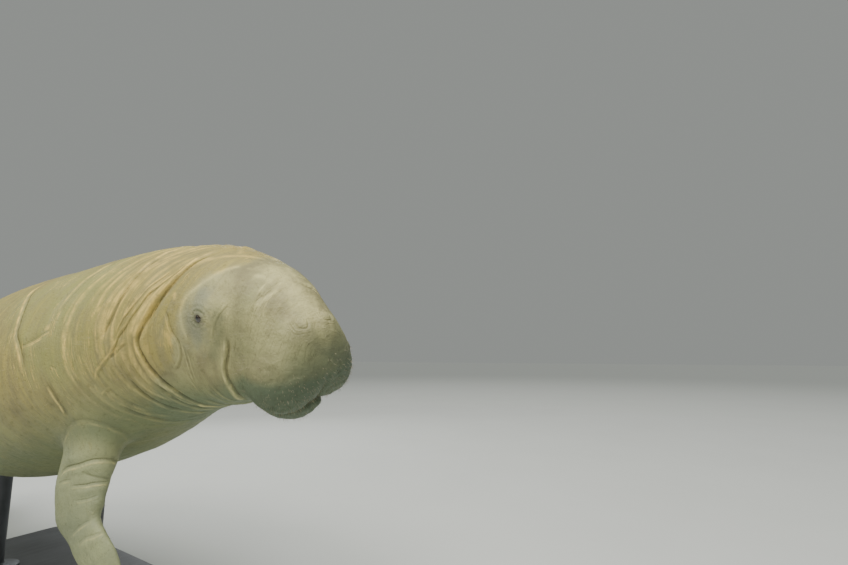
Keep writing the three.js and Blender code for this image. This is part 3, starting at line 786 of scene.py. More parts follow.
# Folds of a flipper, the same way, with lines of (share of its length, angle round it), where an angle
# of 0 is the trailing edge
LIMB_FOLDS = [
    (4.2, 6.5, 2.6, 0.9, [(0.213, 44), (0.176, 54), (0.148, 68), (0.126, 84), (0.112, 107), (0.112, 132),
     (0.116, 160), (0.128, 188), (0.146, 214)]),
    (4.6, 5.5, 4.6, 1.0, [(0.338, 66), (0.308, 78), (0.284, 94), (0.263, 110), (0.229, 135), (0.218, 151),
     (0.216, 184), (0.231, 214)]),
    (3.0, 4.2, 2.6, 0.9, [(0.386, 100), (0.384, 119), (0.382, 135), (0.372, 151), (0.37, 172),
     (0.372, 204)]),
    (2.6, 7.0, 1.0, 0.0, [(0.297, 122), (0.33, 146), (0.352, 176), (0.362, 206)]),
    (2.0, 4.0, 1.2, 0.5, [(0.372, 62), (0.356, 84), (0.35, 100)]),
    (1.4, 4.0, 0.8, 0.4, [(0.47, 110), (0.48, 140), (0.472, 176)]),
    (1.8, 5.0, 2.2, 0.9, [(0.708, 92), (0.719, 118), (0.742, 143), (0.756, 184)]),
    (1.4, 4.5, 0.9, 0.4, [(0.65, 84), (0.655, 120), (0.668, 160)]),
    (2.6, 5.0, 1.6, 0.4, [(0.3, 232), (0.315, 262), (0.33, 292)]),
    (2.2, 5.0, 1.4, 0.4, [(0.42, 236), (0.43, 268), (0.425, 300)]),
    (1.6, 5.0, 1.0, 0.4, [(0.7, 230), (0.71, 262), (0.72, 300)]),
]

# Soft patches of tone: a width in millimetres, a strength and a line of (station, angle)
PATCHES = {
    "dark": [
        (26, 0.3, [(136, 122), (136, 133), (140, 149), (144, 166)]),
        (17, 0.65, [(178, 139), (173, 150), (184, 162), (192, 172)]),
        (15, 0.5, [(223, 146), (222, 145)]),
    ],
    "cool": [
        (26, 0.9, [(232, 132), (226, 146), (232, 160), (250, 150)]),
    ],
    # pale: bright lines along fold edges, partly bare skin and partly painted highlight
    "pale": [
        (6, 0.9, [(414, 168), (398, 158), (372, 146), (352, 136)]),
        (5, 1.0, [(358, 144), (373, 155), (385, 163), (404, 170)]),
        (5, 0.9, [(400, 188), (395, 196), (387, 202), (378, 212), (353, 220)]),
        (5, 0.7, [(212, 104), (226, 110), (236, 117), (254, 127), (275, 138), (281, 147), (277, 156),
         (266, 165)]),
        (9, 0.9, [(319, 169), (312, 173)]),
        (4, 0.9, [(337, 140), (334, 141)]),
        (4, 0.9, [(310, 139), (308, 141)]),
        (5, 0.8, [(676, 161), (674, 161)]),
        (5, 0.7, [(520, 154), (516, 154)]),
        (9, 0.7, [(157, 103), (142, 100), (128, 100)]),
        # painted highlight along the top of the snout
        (30, 0.75, [(150, 90), (110, 90), (80, 90), (48, 92)]),
        (6, 0.8, [(112, 120), (106, 112), (102, 104)]),
        (6, 0.8, [(379, 214), (391, 200), (399, 190)]),
        (5, 0.8, [(166, 203), (168, 214), (172, 224)]),
    ],
}


def fine_folds(rng):
    """Short lines that follow the big neck folds, more of them near the head."""
    folds = []
    for _ in range(FINE_FOLDS["count"]):
        start = FINE_FOLDS["from"] + (FINE_FOLDS["to"] - FINE_FOLDS["from"]) * rng.random() ** 1.3
        middle = rng.uniform(98, 210)
        half = rng.uniform(10, 34)
        angles = np.linspace(middle - half, middle + half, 5)
        stations = start - RING_BOW * (angles - RING_WIDEST) ** 2 + rng.normal(0, 2, 5)
        depth = FINE_FOLDS["depth"] * rng.uniform(0.5, 1.3)
        width = FINE_FOLDS["width"] * rng.uniform(0.8, 1.2)
        folds.append((depth, width, FINE_FOLDS["ridge"], rng.uniform(0.2, 0.8), list(zip(stations, angles))))
    return folds


def evenly_spaced(line, spacing):
    steps = np.linalg.norm(np.diff(line, axis=0), axis=1)
    run = np.concatenate([[0], np.cumsum(steps)])
    count = max(int(run[-1] / spacing), 3)
    places = np.linspace(0, run[-1], count)
    return np.stack([np.interp(places, run, line[:, k]) for k in range(line.shape[1])], 1)


DEGREE = 2.6  # millimetres, about, of a degree on the skin
FLIPPER_SPAN = 500


def dense_line(line, stretch):
    """Many points along a drawn line of two coordinates."""
    controls = np.array([(first * stretch, second * DEGREE, 0) for first, second in line])
    shares = np.linspace(0, 1, 90)
    if len(controls) > 2:
        dense = curve_points(controls, shares)
    else:
        dense = controls[0] * (1 - shares[:, None]) + controls[-1] * shares[:, None]
    return dense[:, 0] / stretch, dense[:, 1] / DEGREE


def line_on_body(line, side, spacing=5.0):
    """Where a drawn line lies on the straight body."""
    stations, angles = dense_line(line, 1)
    zero = np.zeros(len(stations))
    turned = np.radians(angles)
    directions = np.stack([zero, -side * np.cos(turned), np.sin(turned)], 1)
    on_skin = walk_to_skin(np.stack([stations, zero, axis_height(stations)], 1), directions)
    return evenly_spaced(on_skin, spacing)


def line_on_flipper(line, side, spacing=5.0):
    shares, angles = dense_line(line, FLIPPER_SPAN)
    f = flipper_frames(FLIPPERS[side], shares)
    turned = np.radians(angles)[:, None]
    broad = f["broad"] * f["width"][:, None] * np.cos(turned)
    flat = f["flat"] * f["thick"][:, None] * np.sin(turned) * -SIDE_SIGN[side]
    return evenly_spaced(f["centre"] + broad + flat, spacing)


def near_line(points, normals, line, reach):
    """Which points lie near a line, how far to its side, and how much its ends have faded there."""
    window = np.all((points > line.min(0) - reach) & (points < line.max(0) + reach), axis=1)
    picked = np.where(window)[0]
    if len(picked) == 0:
        return picked, None, None
    offset = points[picked, None] - line
    away = (offset**2).sum(-1)
    i = np.argmin(away, axis=1)
    rows = np.arange(len(i))
    close = away[rows, i] < reach**2
    picked, rows, i = picked[close], rows[close], i[close]
    if len(picked) == 0:
        return picked, None, None
    a, b = np.maximum(i - 1, 0), np.minimum(i + 1, len(line) - 1)
    tangent = unit(line[b] - line[a])
    off = offset[rows, i]
    along = (off * tangent).sum(1)
    side = np.cross(normals[picked], tangent)
    aside = np.linalg.norm(off - along[:, None] * tangent, axis=1) * np.sign((off * side).sum(1))
    step = np.maximum(np.linalg.norm(line[b] - line[a], axis=1), 1e-6)
    share = np.clip((i + along / step) / (len(line) - 1), 0, 1)
    ends = smooth(0, FOLD_FADE, share) * smooth(0, FOLD_FADE, 1 - share)
    past = np.maximum(np.abs(along) - 6, 0)
    return picked, aside, ends * bump(past, 5)


def all_folds():
    """Every fold's sizes, whether it is a fine one, its line in space, and the least width that the
    skin's faces can show there."""
    def least_width(line, grain):
        run = np.abs(line[-1] - line[0])
        slant = math.sin(2 * math.atan2(run[0], max(math.hypot(run[1], run[2]), 1)))
        return grain * (1 + SLANT_SPARE * slant)

    rng = np.random.default_rng(SEED)
    for side in (-1, 1):
        for number, (*sizes, drawn) in enumerate(FOLDS + fine_folds(rng)):
            if side > 0:
                drawn = [(s + rng.normal(0, 3), a + rng.normal(0, 1.2)) for s, a in drawn]
            line = line_on_body(drawn, side)
            grain = SKIN_GRAIN[1 if line[:, 0].mean() > NECK_TO else 0]
            yield sizes, number >= len(FOLDS), line, least_width(line, grain)
    for side in FLIPPERS:
        for *sizes, drawn in LIMB_FOLDS:
            line = settle(rooted_field(side), line_on_flipper(drawn, side), 5)
            yield sizes, False, line, SKIN_GRAIN[2] * (1 + SLANT_SPARE / 2)


def roomiest_layer(line, layers):
    """The first layer whose lines all keep clear of this one, or else the one that leaves it most room."""
    room = [
        min((np.sqrt(((line[:, None] - other) ** 2).sum(-1).min()) for other in layer), default=FOLD_ROOM)
        for layer in layers
    ]
    return int(np.argmax(np.minimum(room, FOLD_ROOM)))


def press_folds(points, normals):
    """Height that all folds give to each point, how pale the crests are as worn skin and painted highlight,
    and how much painted shade lies in the beds. For each layer of large folds: the place across the nearest,
    in widths of that fold, and how bare and deep it is, painted as crest highlight and trough shade."""
    height, pale, bed_shade = (np.zeros(len(points)) for _ in range(3))
    across, nearest = (np.full((FOLD_LAYERS, len(points)), FOLD_FAR) for _ in range(2))
    bare, deep = (np.zeros((FOLD_LAYERS, len(points))) for _ in range(2))
    layers = [[] for _ in range(FOLD_LAYERS)]
    for (deepest, broad, ridge, worn_and_lit), fine, line, least in all_folds():
        width = FOLD_WIDTH * broad
        soft = max(width, least)
        picked, off, fade = near_line(points, normals, line, 6.2 * soft)
        if len(picked) == 0:
            continue
        off = off + CREST_AT * width
        cut = np.exp(-np.abs(off / soft) ** 1.3)
        crests = bump(off - 2.1 * soft, 1.05 * soft) + 0.45 * bump(off + 2.2 * soft, 1.2 * soft)
        uneven = 1 + 0.4 * noise(points[picked] / 24, 16)
        rise = FOLD_RIDGE * ridge * crests * uneven
        height[picked] += (rise - deepest * cut * width / soft) * fade
        # how pale the crest is: skin rubbed bare and painted highlight
        worn = worn_and_lit * fade * (0.25 + 0.75 * smooth(-0.6, 0.35, noise(points[picked] / 15, 17)))
        depth = fade * min(deepest / 6, 1)
        # painted shade in the bed of the fold
        bed_shade[picked] = np.maximum(bed_shade[picked], 0.6 * depth * bump(off, 0.8 * soft))
        if fine:
            pale[picked] = np.maximum(pale[picked], worn * bump(off - CREST_AT * soft, 0.62 * soft))
            continue
        layer = roomiest_layer(line, layers)
        layers[layer].append(line)
        closer = np.abs(off) / width < nearest[layer, picked]
        taken, place = picked[closer], (off / width)[closer]
        near = 1 - smooth(3.0, 4.4, np.abs(place))
        nearest[layer, taken], across[layer, taken] = np.abs(place), place
        bare[layer, taken], deep[layer, taken] = worn[closer] * near, depth[closer] * near
    return height, pale, bed_shade, {"fold": across, "bare": bare, "deep": deep}


def paint_patches(points, normals):
    tones = {tone: np.zeros(len(points)) for tone in PATCHES}
    patches = [(tone, *patch) for tone, patches in PATCHES.items() for patch in patches]
    for side in (-1, 1):
        for tone, width, strength, line in patches:
            path = line_on_body(line, side, 3)
            picked, _, _ = near_line(points, normals, path, 2.4 * width)
            if len(picked) == 0:
                continue
            away = np.sqrt(((points[picked, None] - path) ** 2).sum(-1).min(1))
            ragged = 1 + 0.45 * noise(points[picked] / 9, 15)
            tones[tone][picked] = np.maximum(tones[tone][picked], strength * bump(away * ragged, width))
    return tones


algae_edge_at = profile(ALGAE_EDGE)


def half_angle(points):
    """The angle round the section as if every point were on the right side."""
    angle, radius = unwrap(points)
    return np.where((angle >= 90) & (angle <= 270), angle, (180 - angle) % 360), radius


def ring_phase(points):
    """Station, bent so that lines of equal phase follow the folds of the neck."""
    station = points[:, 0]
    angle, _ = half_angle(points)
    bow = RING_BOW * smooth(230, 330, station) * (1 - 0.8 * smooth(560, 900, station))
    return station + bow * (1 - smooth(1500, 2100, station)) * (angle - RING_WIDEST) ** 2


def wrinkle_relief(points, phase):
    """Soft rolls of the neck, broad rings on the trunk, and uneven flesh under the skin."""
    station, across, height = points.T
    neck = smooth(300, 380, station) * (1 - smooth(600, 860, station))
    trunk = smooth(560, 900, station) * (1 - smooth(2300, 2560, station))
    face = 1 - smooth(300, 380, station)
    rolls = noise(np.stack([phase / 12, across / 75, height / 75], 1), 5)
    small = noise(np.stack([phase / 7, across / 45, height / 45], 1), 6)
    broad = noise(np.stack([phase / 30, across / 150, height / 150], 1), 7)
    relief = 1.9 * neck * rolls + 0.7 * neck * small + 1.5 * trunk * broad
    relief += layered_noise(points / 90, 31) * (3.0 * trunk + 1.2 * neck)
    return relief + layered_noise(points / 26, 41) * (0.8 * face + 0.4 * trunk)


def muzzle_relief(points):
    """Creases of the bristly upper lip, its cleft, and the line between lips."""
    station, across, height = points.T
    front = (1 - smooth(60, 125, station)) * (1 - smooth(-30, 40, height))
    rows = np.abs(np.sin((height + 6 * noise(points / 30, 61) + 0.15 * station) / 8.2))
    columns = np.abs(np.sin((np.abs(across) + 7 * noise(points / 34, 62)) / 10.5))
    patchy = smooth(-0.5, 0.5, noise(points / 27, 59))
    relief = -front * (1.6 * patchy * (1 - rows) ** 2.4 + 1.6 * (1 - columns) ** 2.8)
    relief += front * (1.0 * noise(points / 8, 63) + 1.3 * noise(points / 21, 60))
    snout = (1 - smooth(130, 200, station)) * (1 - front)
    relief += snout * (0.5 * noise(points / 12, 65) - 0.5 * (1 - np.abs(noise(points / 17, 66))) ** 8)
    cleft = bump(across + 2 * noise(points / 25, 64), 6.5) * (1 - smooth(20, 80, station))
    relief -= 6.5 * cleft * (1 - smooth(-74, -22, height))
    gap = upper_field(points) - jaw_field(points)
    mouth = (station < 240) & (height < -60)
    lips = np.where(mouth, bump(gap, 5.5), 0)
    relief -= 6.5 * lips * (1 - smooth(190, 225, station))
    relief += np.where(mouth, 1.6 * bump(np.abs(gap) - 15, 6), 0)
    return relief, lips


def flipper_relief(points):
    """Finger bones that show through the paddle, where the limb begins, and painted shade on the forearm
    below the elbow fold.
    """
    relief, on_limb, forearm_shade = (np.zeros(len(points)) for _ in range(3))
    for side, sign in SIDE_SIGN.items():
        share, u, v, near = flipper_place(side, points)
        on = (near < 14) & (points[:, 1] * sign > 60) & (share > 0.1)
        weight = np.where(on, smooth(0.12, 0.24, share), 0)
        weight[on] *= smooth(3, 26, body_field(points[on]))
        for finger in (-0.66, -0.33, 0.0, 0.33, 0.66):
            spread = smooth(0.6, 0.75, share) * (1 - smooth(0.93, 1.0, share))
            relief += weight * 1.5 * spread * bump(u - finger, 0.11)
        relief += weight * 0.9 * layered_noise(points / 16, 73)
        on_limb = np.maximum(on_limb, weight)
        # painted shade on the forearm, under the roll of the elbow fold
        forearm_shade = np.maximum(forearm_shade, 0.3 * weight * bump(share - 0.49, 0.11))
    return relief, on_limb, forearm_shade


def nail_beds(points):
    """The low fold of skin round the root of each nail."""
    relief = np.zeros(len(points))
    for side in FLIPPERS:
        for nail in NAILS:
            place, broad, along, flat = nail_frame(side, nail)
            away = points - place
            x, y = away @ broad / nail["width"] * 2, away @ along / nail["length"] * 2
            near = (np.abs(away @ flat) < 9) & (np.abs(x) < 3) & (np.abs(y) < 3)
            r = np.hypot(x, y)
            relief += np.where(near, 1.5 * bump(r - 1.28, 0.24) * (1 - 0.7 * smooth(-0.2, 0.9, y)), 0)
    return relief


FAN_FROM = 2260
FAN_CENTRE = 1950
FAN_RADIUS = 600


def tail_relief(points):
    """Faint rays on the paddle."""
    station, across, _ = points.T
    on = smooth(FAN_FROM - 80, FAN_FROM + 80, station)
    ray = np.arctan2(across, station - FAN_CENTRE)
    rays = np.abs(np.sin(ray * 44 + 1.4 * noise(points / 60, 81)))
    return -0.9 * on * (1 - rays) ** 2 + 1.3 * on * layered_noise(points / 48, 82)


def press_details(points, normals, share):
    """Moves the skin in and out, and returns it with the maps that colour it."""
    phase = ring_phase(points)
    limb, on_limb, forearm_shade = flipper_relief(points)
    off_limb = 1 - np.clip(on_limb * 1.4, 0, 1)
    folds, pale, bed_shade, drawn = press_folds(points, normals)
    nostril, nostril_shade = nostril_relief(points)
    eye, lid = eye_relief(points)
    muzzle, lips = muzzle_relief(points)
    tones = paint_patches(points, normals)
    features = [place for place, _ in (*EYES.values(), *NOSTRILS.values())]
    close = sum(bump(np.linalg.norm(points - place, axis=1), 28) for place in features)
    calm = 1 - 0.85 * np.clip(close, 0, 1)
    soft = (wrinkle_relief(points, phase) * off_limb + tail_relief(points) * off_limb + folds) * calm * share
    relief = soft + nostril + eye + muzzle + limb + nail_beds(points)
    # valley: painted shade in fold beds, nostril slits and the mouth line; pale: worn crests and painted
    # highlights; dark: dark patches and painted shade on the forearm
    maps = {
        "valley_shade": np.clip(bed_shade * calm + nostril_shade + 0.8 * lips, 0, 1),
        "pale": np.clip(np.maximum(pale * calm, tones["pale"]), 0, 1),
        "dark": np.maximum(tones["dark"], forearm_shade), "cool": tones["cool"],
        "lid": np.clip(lid, 0, 1), "limb": on_limb, "phase": phase,
    }
    for layer in range(FOLD_LAYERS):
        maps[f"fold_{layer}"] = drawn["fold"][layer]
        maps[f"bare_{layer}"] = drawn["bare"][layer] * calm * share
        maps[f"deep_{layer}"] = drawn["deep"][layer] * calm * share
    return points + normals * relief[:, None], maps


# Pose

nose_up_at = profile(NOSE_UP)
turn_left_at = profile(TURN_LEFT)
bank_right_at = profile(BANK_RIGHT)


def spine_frames(station):
    pitch, yaw, bank = (np.radians(f(station)) for f in (nose_up_at, turn_left_at, bank_right_at))
    forward = np.stack([np.cos(pitch) * np.cos(yaw), np.cos(pitch) * np.sin(yaw), np.sin(pitch)], -1)
    level = np.stack([-np.sin(yaw), np.cos(yaw), np.zeros_like(yaw)], -1)
    left = level * np.cos(bank)[..., None] + np.cross(forward, level) * np.sin(bank)[..., None]
    return forward, left, np.cross(forward, left)


def make_spine():
    first = -200
    count = round((BODY_LENGTH + 400) / SPINE_STEP)
    forward = spine_frames(first + (np.arange(count) + 0.5) * SPINE_STEP)[0]
    knots = np.vstack([np.zeros(3), -np.cumsum(forward, axis=0) * SPINE_STEP])
    stations = first + np.arange(count + 1) * SPINE_STEP

    def at(station):
        return np.stack([np.interp(station, stations, knots[:, k]) for k in range(3)], -1)

    shift = np.array([0, 0, AXIS_HEIGHT]) - at(POSE_STATION)
    return lambda station: at(station) + shift


spine_at = make_spine()


def bend(points):
    _, left, up = spine_frames(points[..., 0])
    return spine_at(points[..., 0]) + left * points[..., 1:2] + up * points[..., 2:3]


def pose_shift():
    """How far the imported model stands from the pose's own origin, read off the base."""
    low, high = (np.array(corner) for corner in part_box("stand_base"))
    middle = np.mean([bend(np.array([float(s), 0, 0]))[0] for s in ROD_STATIONS]) * MM
    return np.array([(low[0] + high[0]) / 2 - middle, (low[1] + high[1]) / 2, 0])


SHIFT = pose_shift()


def posed(points):
    """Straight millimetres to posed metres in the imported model's frame."""
    return bend(np.asarray(points, float)) * MM + SHIFT


def posed_direction(points, directions):
    forward, left, up = spine_frames(points[..., 0])
    turned = -forward * directions[..., :1] + left * directions[..., 1:2] + up * directions[..., 2:3]
    return unit(turned)


# Materials

def srgb(red, green, blue):
    """A colour given as it looks, in 0 to 255, as the linear colour a shader takes."""
    channels = [c / 255 for c in (red, green, blue)]
    return (*[c / 12.92 if c <= 0.04045 else ((c + 0.055) / 1.055) ** 2.4 for c in channels], 1)


class Nodes:
    """A material's node tree, with short ways to add and join nodes."""

    def __init__(self, name):
        self.material = bpy.data.materials.new(name)
        self.material.use_nodes = True
        self.tree = self.material.node_tree
        self.shader = self.tree.nodes["Principled BSDF"]

    def add(self, kind, inputs=(), **settings):
        node = self.tree.nodes.new(kind)
        for key, value in settings.items():
            setattr(node, key, value)
        for key, value in dict(inputs).items():
            self.put(node.inputs[key], value)
        return node

    def put(self, socket, value):
        if isinstance(value, bpy.types.NodeSocket):
            self.tree.links.new(value, socket)
        else:
            socket.default_value = value

    def attribute(self, name, vector=False):
        node = self.add("ShaderNodeAttribute", attribute_name=name)
        return node.outputs["Vector" if vector else "Fac"]

    def texture_noise(self, vector, scale, detail=4.0, rough=0.55, distortion=0.0):
        return self.add("ShaderNodeTexNoise", {
            "Vector": vector, "Scale": scale, "Detail": detail, "Roughness": rough, "Distortion": distortion,
        }).outputs["Fac"]

    def cells(self, vector, scale, feature="F1", smoothness=None):
        inputs = {"Vector": vector, "Scale": scale}
        if smoothness is not None:
            inputs["Smoothness"] = smoothness
        return self.add("ShaderNodeTexVoronoi", inputs, feature=feature).outputs["Distance"]

    def ramp(self, value, low, high, to_low=0.0, to_high=1.0):
        return self.add("ShaderNodeMapRange", {
            "Value": value, "From Min": low, "From Max": high, "To Min": to_low, "To Max": to_high,
        }, interpolation_type="SMOOTHSTEP").outputs["Result"]

    def math(self, operation, a, b=0.0):
        node = self.add("ShaderNodeMath", operation=operation)
        self.put(node.inputs[0], a)
        self.put(node.inputs[1], b)
        return node.outputs[0]

    def mix(self, share, a, b):
        node = self.add("ShaderNodeMix", data_type="RGBA")
        self.put(node.inputs["Factor"], share)
        self.put(node.inputs[6], a)
        self.put(node.inputs[7], b)
        return node.outputs[2]

    def tint(self, color, mask, share, tone):
        """The colour drawn towards a tone where the mask is 1, by at most the share."""
        return self.mix(self.math("MULTIPLY", mask, share), color, tone)

    def stretched(self, vector, scale):
        return self.add("ShaderNodeMapping", {"Vector": vector, "Scale": scale}).outputs["Vector"]

    def bump(self, height, distance, normal=None, strength=1.0):
        inputs = {"Height": height, "Distance": distance, "Strength": strength}
        if normal is not None:
            inputs["Normal"] = normal
        return self.add("ShaderNodeBump", inputs).outputs["Normal"]

    def plain(self, **values):
        """Sets the shader's own sockets that are the same all over the surface."""
        for name, value in values.items():
            self.shader.inputs[name.replace("_", " ")].default_value = value

    def finish(self, color, roughness, normal=None):
        self.put(self.shader.inputs["Base Color"], color)
        self.put(self.shader.inputs["Roughness"], roughness)
        if normal is not None:
            self.put(self.shader.inputs["Normal"], normal)
        return self.material


HIDE = srgb(164, 160, 111)
HIDE_DARK = srgb(126, 119, 86)
HIDE_PALE = srgb(208, 200, 142)
COOL = srgb(134, 138, 118)
# dark grey-green of the muzzle's pored skin and of dark patches, used also for painted shade on the lower
# muzzle and the forearm
DARK_HIDE_AND_SHADE = srgb(75, 88, 69)
OCHRE = srgb(171, 156, 89)
RUST = srgb(143, 129, 83)
OLIVE = srgb(145, 147, 90)
# gold of skin rubbed bare among the algae, used also for painted highlights on crests and fine lines
GOLD = srgb(236, 206, 118)
# painted shade: the dark green-grey that the underside is drawn towards
UNDERSIDE_SHADE = srgb(100, 114, 88)
LIMB = srgb(134, 150, 122)
# painted shade in creases and hollows, also the colour of the hide's dark speckle
SHADE_AND_SPECKLE = srgb(72, 66, 48)
LID = srgb(100, 94, 80)
# tints of the hide: the flippers' greener tone, painted shade on the underside, the muzzle's dark skin
# deepened by painted shade, and a cool patch by the eye
HIDE_TINTS = [
    ("limb", 0.5, LIMB), ("under", 0.85, UNDERSIDE_SHADE), ("muzzle", 0.85, DARK_HIDE_AND_SHADE), ("cool", 0.75, COOL),
]


def drawn_folds(n):
    """How pale the crests of the large folds are, as worn skin and painted highlight, how much painted shade
    lies in their troughs, and how raised the hide is, finer than its faces.
    """
    worn_and_lit, sunk, raised = n.attribute("pale"), 0.0, 0.0
    for layer in range(FOLD_LAYERS):
        across, bare, deep = (n.attribute(f"{name}_{layer}") for name in ("fold", "bare", "deep"))
        crest = n.ramp(n.math("ABSOLUTE", n.math("SUBTRACT", across, CREST_AT)), 0.0, CREST_SPREAD, 1.0, 0.0)
        trough = n.ramp(n.math("ABSOLUTE", across), 0.0, BED_SPREAD, 1.0, 0.0)
        worn_and_lit = n.math("MAXIMUM", worn_and_lit, n.math("MULTIPLY", crest, bare))
        sunk = n.math("MAXIMUM", sunk, n.math("MULTIPLY", trough, deep))
        rise = n.math("MULTIPLY", n.math("SUBTRACT", n.math("MULTIPLY", crest, CREST_RISE), trough), deep)
        raised = n.math("ADD", raised, rise)
    return worn_and_lit, sunk, raised


def skin_material():
    """Grey-brown hide, with algae over the back and flanks, bare gold edges on the folds that are partly
    painted highlight, and painted shade in creases, on the underside and on the muzzle.
    """
    n = Nodes("manatee hide")
    lie = n.attribute("lie", vector=True)
    ring = n.attribute("ring", vector=True)
    algae = n.attribute("algae")
    broad = n.texture_noise(lie, 4.0, 5.0, 0.6)
    patches = n.texture_noise(lie, 14.0, 5.0, 0.65, 0.4)
    speckle = n.texture_noise(lie, 90.0, 4.0, 0.7)
    streaks = n.texture_noise(n.stretched(ring, (70.0, 7.0, 7.0)), 1.0, 4.0, 0.6, 0.3)
    threads = n.texture_noise(n.stretched(ring, (120.0, 6.0, 6.0)), 1.0, 3.0, 0.5, 0.2)
    line = n.math("SUBTRACT", 1.0, n.ramp(n.math("ABSOLUTE", n.math("SUBTRACT", threads, 0.5)), 0.0, 0.022))
    broken = n.ramp(n.texture_noise(lie, 16.0, 3.0, 0.6), 0.47, 0.62)
    line = n.math("MULTIPLY", line, broken)

    hide = n.mix(n.ramp(patches, 0.3, 0.72), HIDE_DARK, HIDE)
    hide = n.mix(n.ramp(broad, 0.42, 0.72, 0.0, 0.45), hide, HIDE_PALE)
    for name, share, tone in HIDE_TINTS:
        hide = n.tint(hide, n.attribute(name), share, tone)
    growth = n.mix(n.ramp(streaks, 0.32, 0.68), RUST, OCHRE)
    olive = n.math("MULTIPLY", n.ramp(broad, 0.3, 0.65), n.ramp(n.attribute("tawny"), 0.0, 1.0, 0.85, 0.15))
    growth = n.mix(olive, growth, OLIVE)
    clumps = n.math("ADD", n.math("MULTIPLY", patches, 0.7), n.math("MULTIPLY", streaks, 0.5))
    hide = n.tint(hide, algae, n.ramp(clumps, 0.38, 0.74, 0.45), growth)
    hide = n.tint(hide, n.ramp(speckle, 0.54, 0.72), 0.3, SHADE_AND_SPECKLE)
    # fine gold lines along fine creases in the algae, partly painted highlight
    hide = n.tint(hide, n.math("MULTIPLY", line, algae), 0.7, GOLD)
    worn_and_lit, sunk, raised = drawn_folds(n)
    # pale crests: worn skin and painted highlight
    hide = n.tint(hide, worn_and_lit, n.ramp(speckle, 0.3, 0.6, 0.55, 0.95), n.mix(algae, HIDE_PALE, GOLD))
    # dark patches of the face, and painted shade on the forearm
    hide = n.tint(hide, n.attribute("dark"), 0.7, DARK_HIDE_AND_SHADE)
    # painted shade in fold troughs, nostril slits and the mouth line
    hide = n.tint(hide, n.math("MAXIMUM", n.attribute("valley_shade"), sunk), 0.42, SHADE_AND_SPECKLE)
    hide = n.tint(hide, n.attribute("lid"), 0.5, LID)

    grain = n.texture_noise(lie, 380.0, 3.0, 0.65)
    pebbles = n.cells(lie, 190.0, "SMOOTH_F1", 0.5)
    warped = n.add("ShaderNodeVectorMath", {}, operation="ADD")
    n.put(warped.inputs[0], n.stretched(lie, (150.0, 80.0, 80.0)))
    n.put(warped.inputs[1], n.add("ShaderNodeTexNoise", {"Vector": lie, "Scale": 60.0}).outputs["Color"])
    cracks = n.ramp(n.cells(warped.outputs[0], 1.0, "DISTANCE_TO_EDGE"), 0.0, 0.12)
    normal = None
    for height, distance, strength in (
        (raised, 0.0032, 0.9), (streaks, 0.005, 0.5), (line, 0.0012, 0.6),
        (cracks, 0.0007, 0.32), (pebbles, 0.0012, 0.45), (grain, 0.0005, 0.5),
    ):
        normal = n.bump(height, distance, normal, strength)
    material = n.finish(hide, n.ramp(speckle, 0.3, 0.75, 0.52, 0.72), normal)
    n.plain(Specular_IOR_Level=0.32)
    return material


def eye_material():
    """A wet dark brown eye with a black pupil."""
    n = Nodes("wet eye")
    axis = n.attribute("axis")
    fibres = n.texture_noise(n.attribute("lie", vector=True), 900.0, 3.0)
    iris = n.mix(n.ramp(fibres, 0.3, 0.7), srgb(34, 26, 20), srgb(60, 47, 36))
    color = n.mix(n.ramp(axis, 0.2, 0.24), srgb(6, 5, 5), iris)
    color = n.mix(n.ramp(axis, 0.56, 0.66), color, srgb(58, 52, 46))
    material = n.finish(color, 0.08)
    n.plain(Coat_Weight=1.0, Coat_Roughness=0.02)
    return material


def nail_material():
    n = Nodes("horn nail")
    lie = n.attribute("lie", vector=True)
    ridges = n.texture_noise(n.stretched(lie, (60.0, 700.0, 60.0)), 1.0, 3.0)
    tone = n.texture_noise(lie, 90.0, 4.0)
    color = n.mix(n.ramp(tone, 0.35, 0.7), srgb(150, 134, 106), srgb(196, 182, 150))
    color = n.tint(color, n.ramp(ridges, 0.5, 0.7), 0.35, srgb(92, 78, 58))
    return n.finish(color, n.ramp(tone, 0.3, 0.7, 0.32, 0.5), n.bump(ridges, 0.0004))


def bristle_material():
    n = Nodes("bristle")
    tone = n.texture_noise(n.attribute("lie", vector=True), 220.0, 2.0)
    return n.finish(n.mix(tone, srgb(120, 110, 86), srgb(176, 165, 136)), n.ramp(tone, 0.3, 0.7, 0.45, 0.6))


def stand_material(name, low, high, metallic):
    """Dark satin paint with a fine orange-peel and a few handling marks."""
    n = Nodes(name)
    place = n.add("ShaderNodeTexCoord").outputs["Object"]
    tone = n.texture_noise(place, 6.0, 5.0)
    scuffs = n.texture_noise(n.stretched(place, (70.0, 5.0, 5.0)), 1.0, 6.0, 0.7)
    color = n.mix(n.ramp(tone, 0.3, 0.7), low, high)
    peel = n.texture_noise(place, 900.0, 2.0)
    rough = n.ramp(scuffs, 0.4, 0.8, 0.44, 0.52)
    material = n.finish(color, rough, n.bump(peel, 0.0003, strength=0.35))
    n.plain(Metallic=metallic)
    return material


# Skin piece

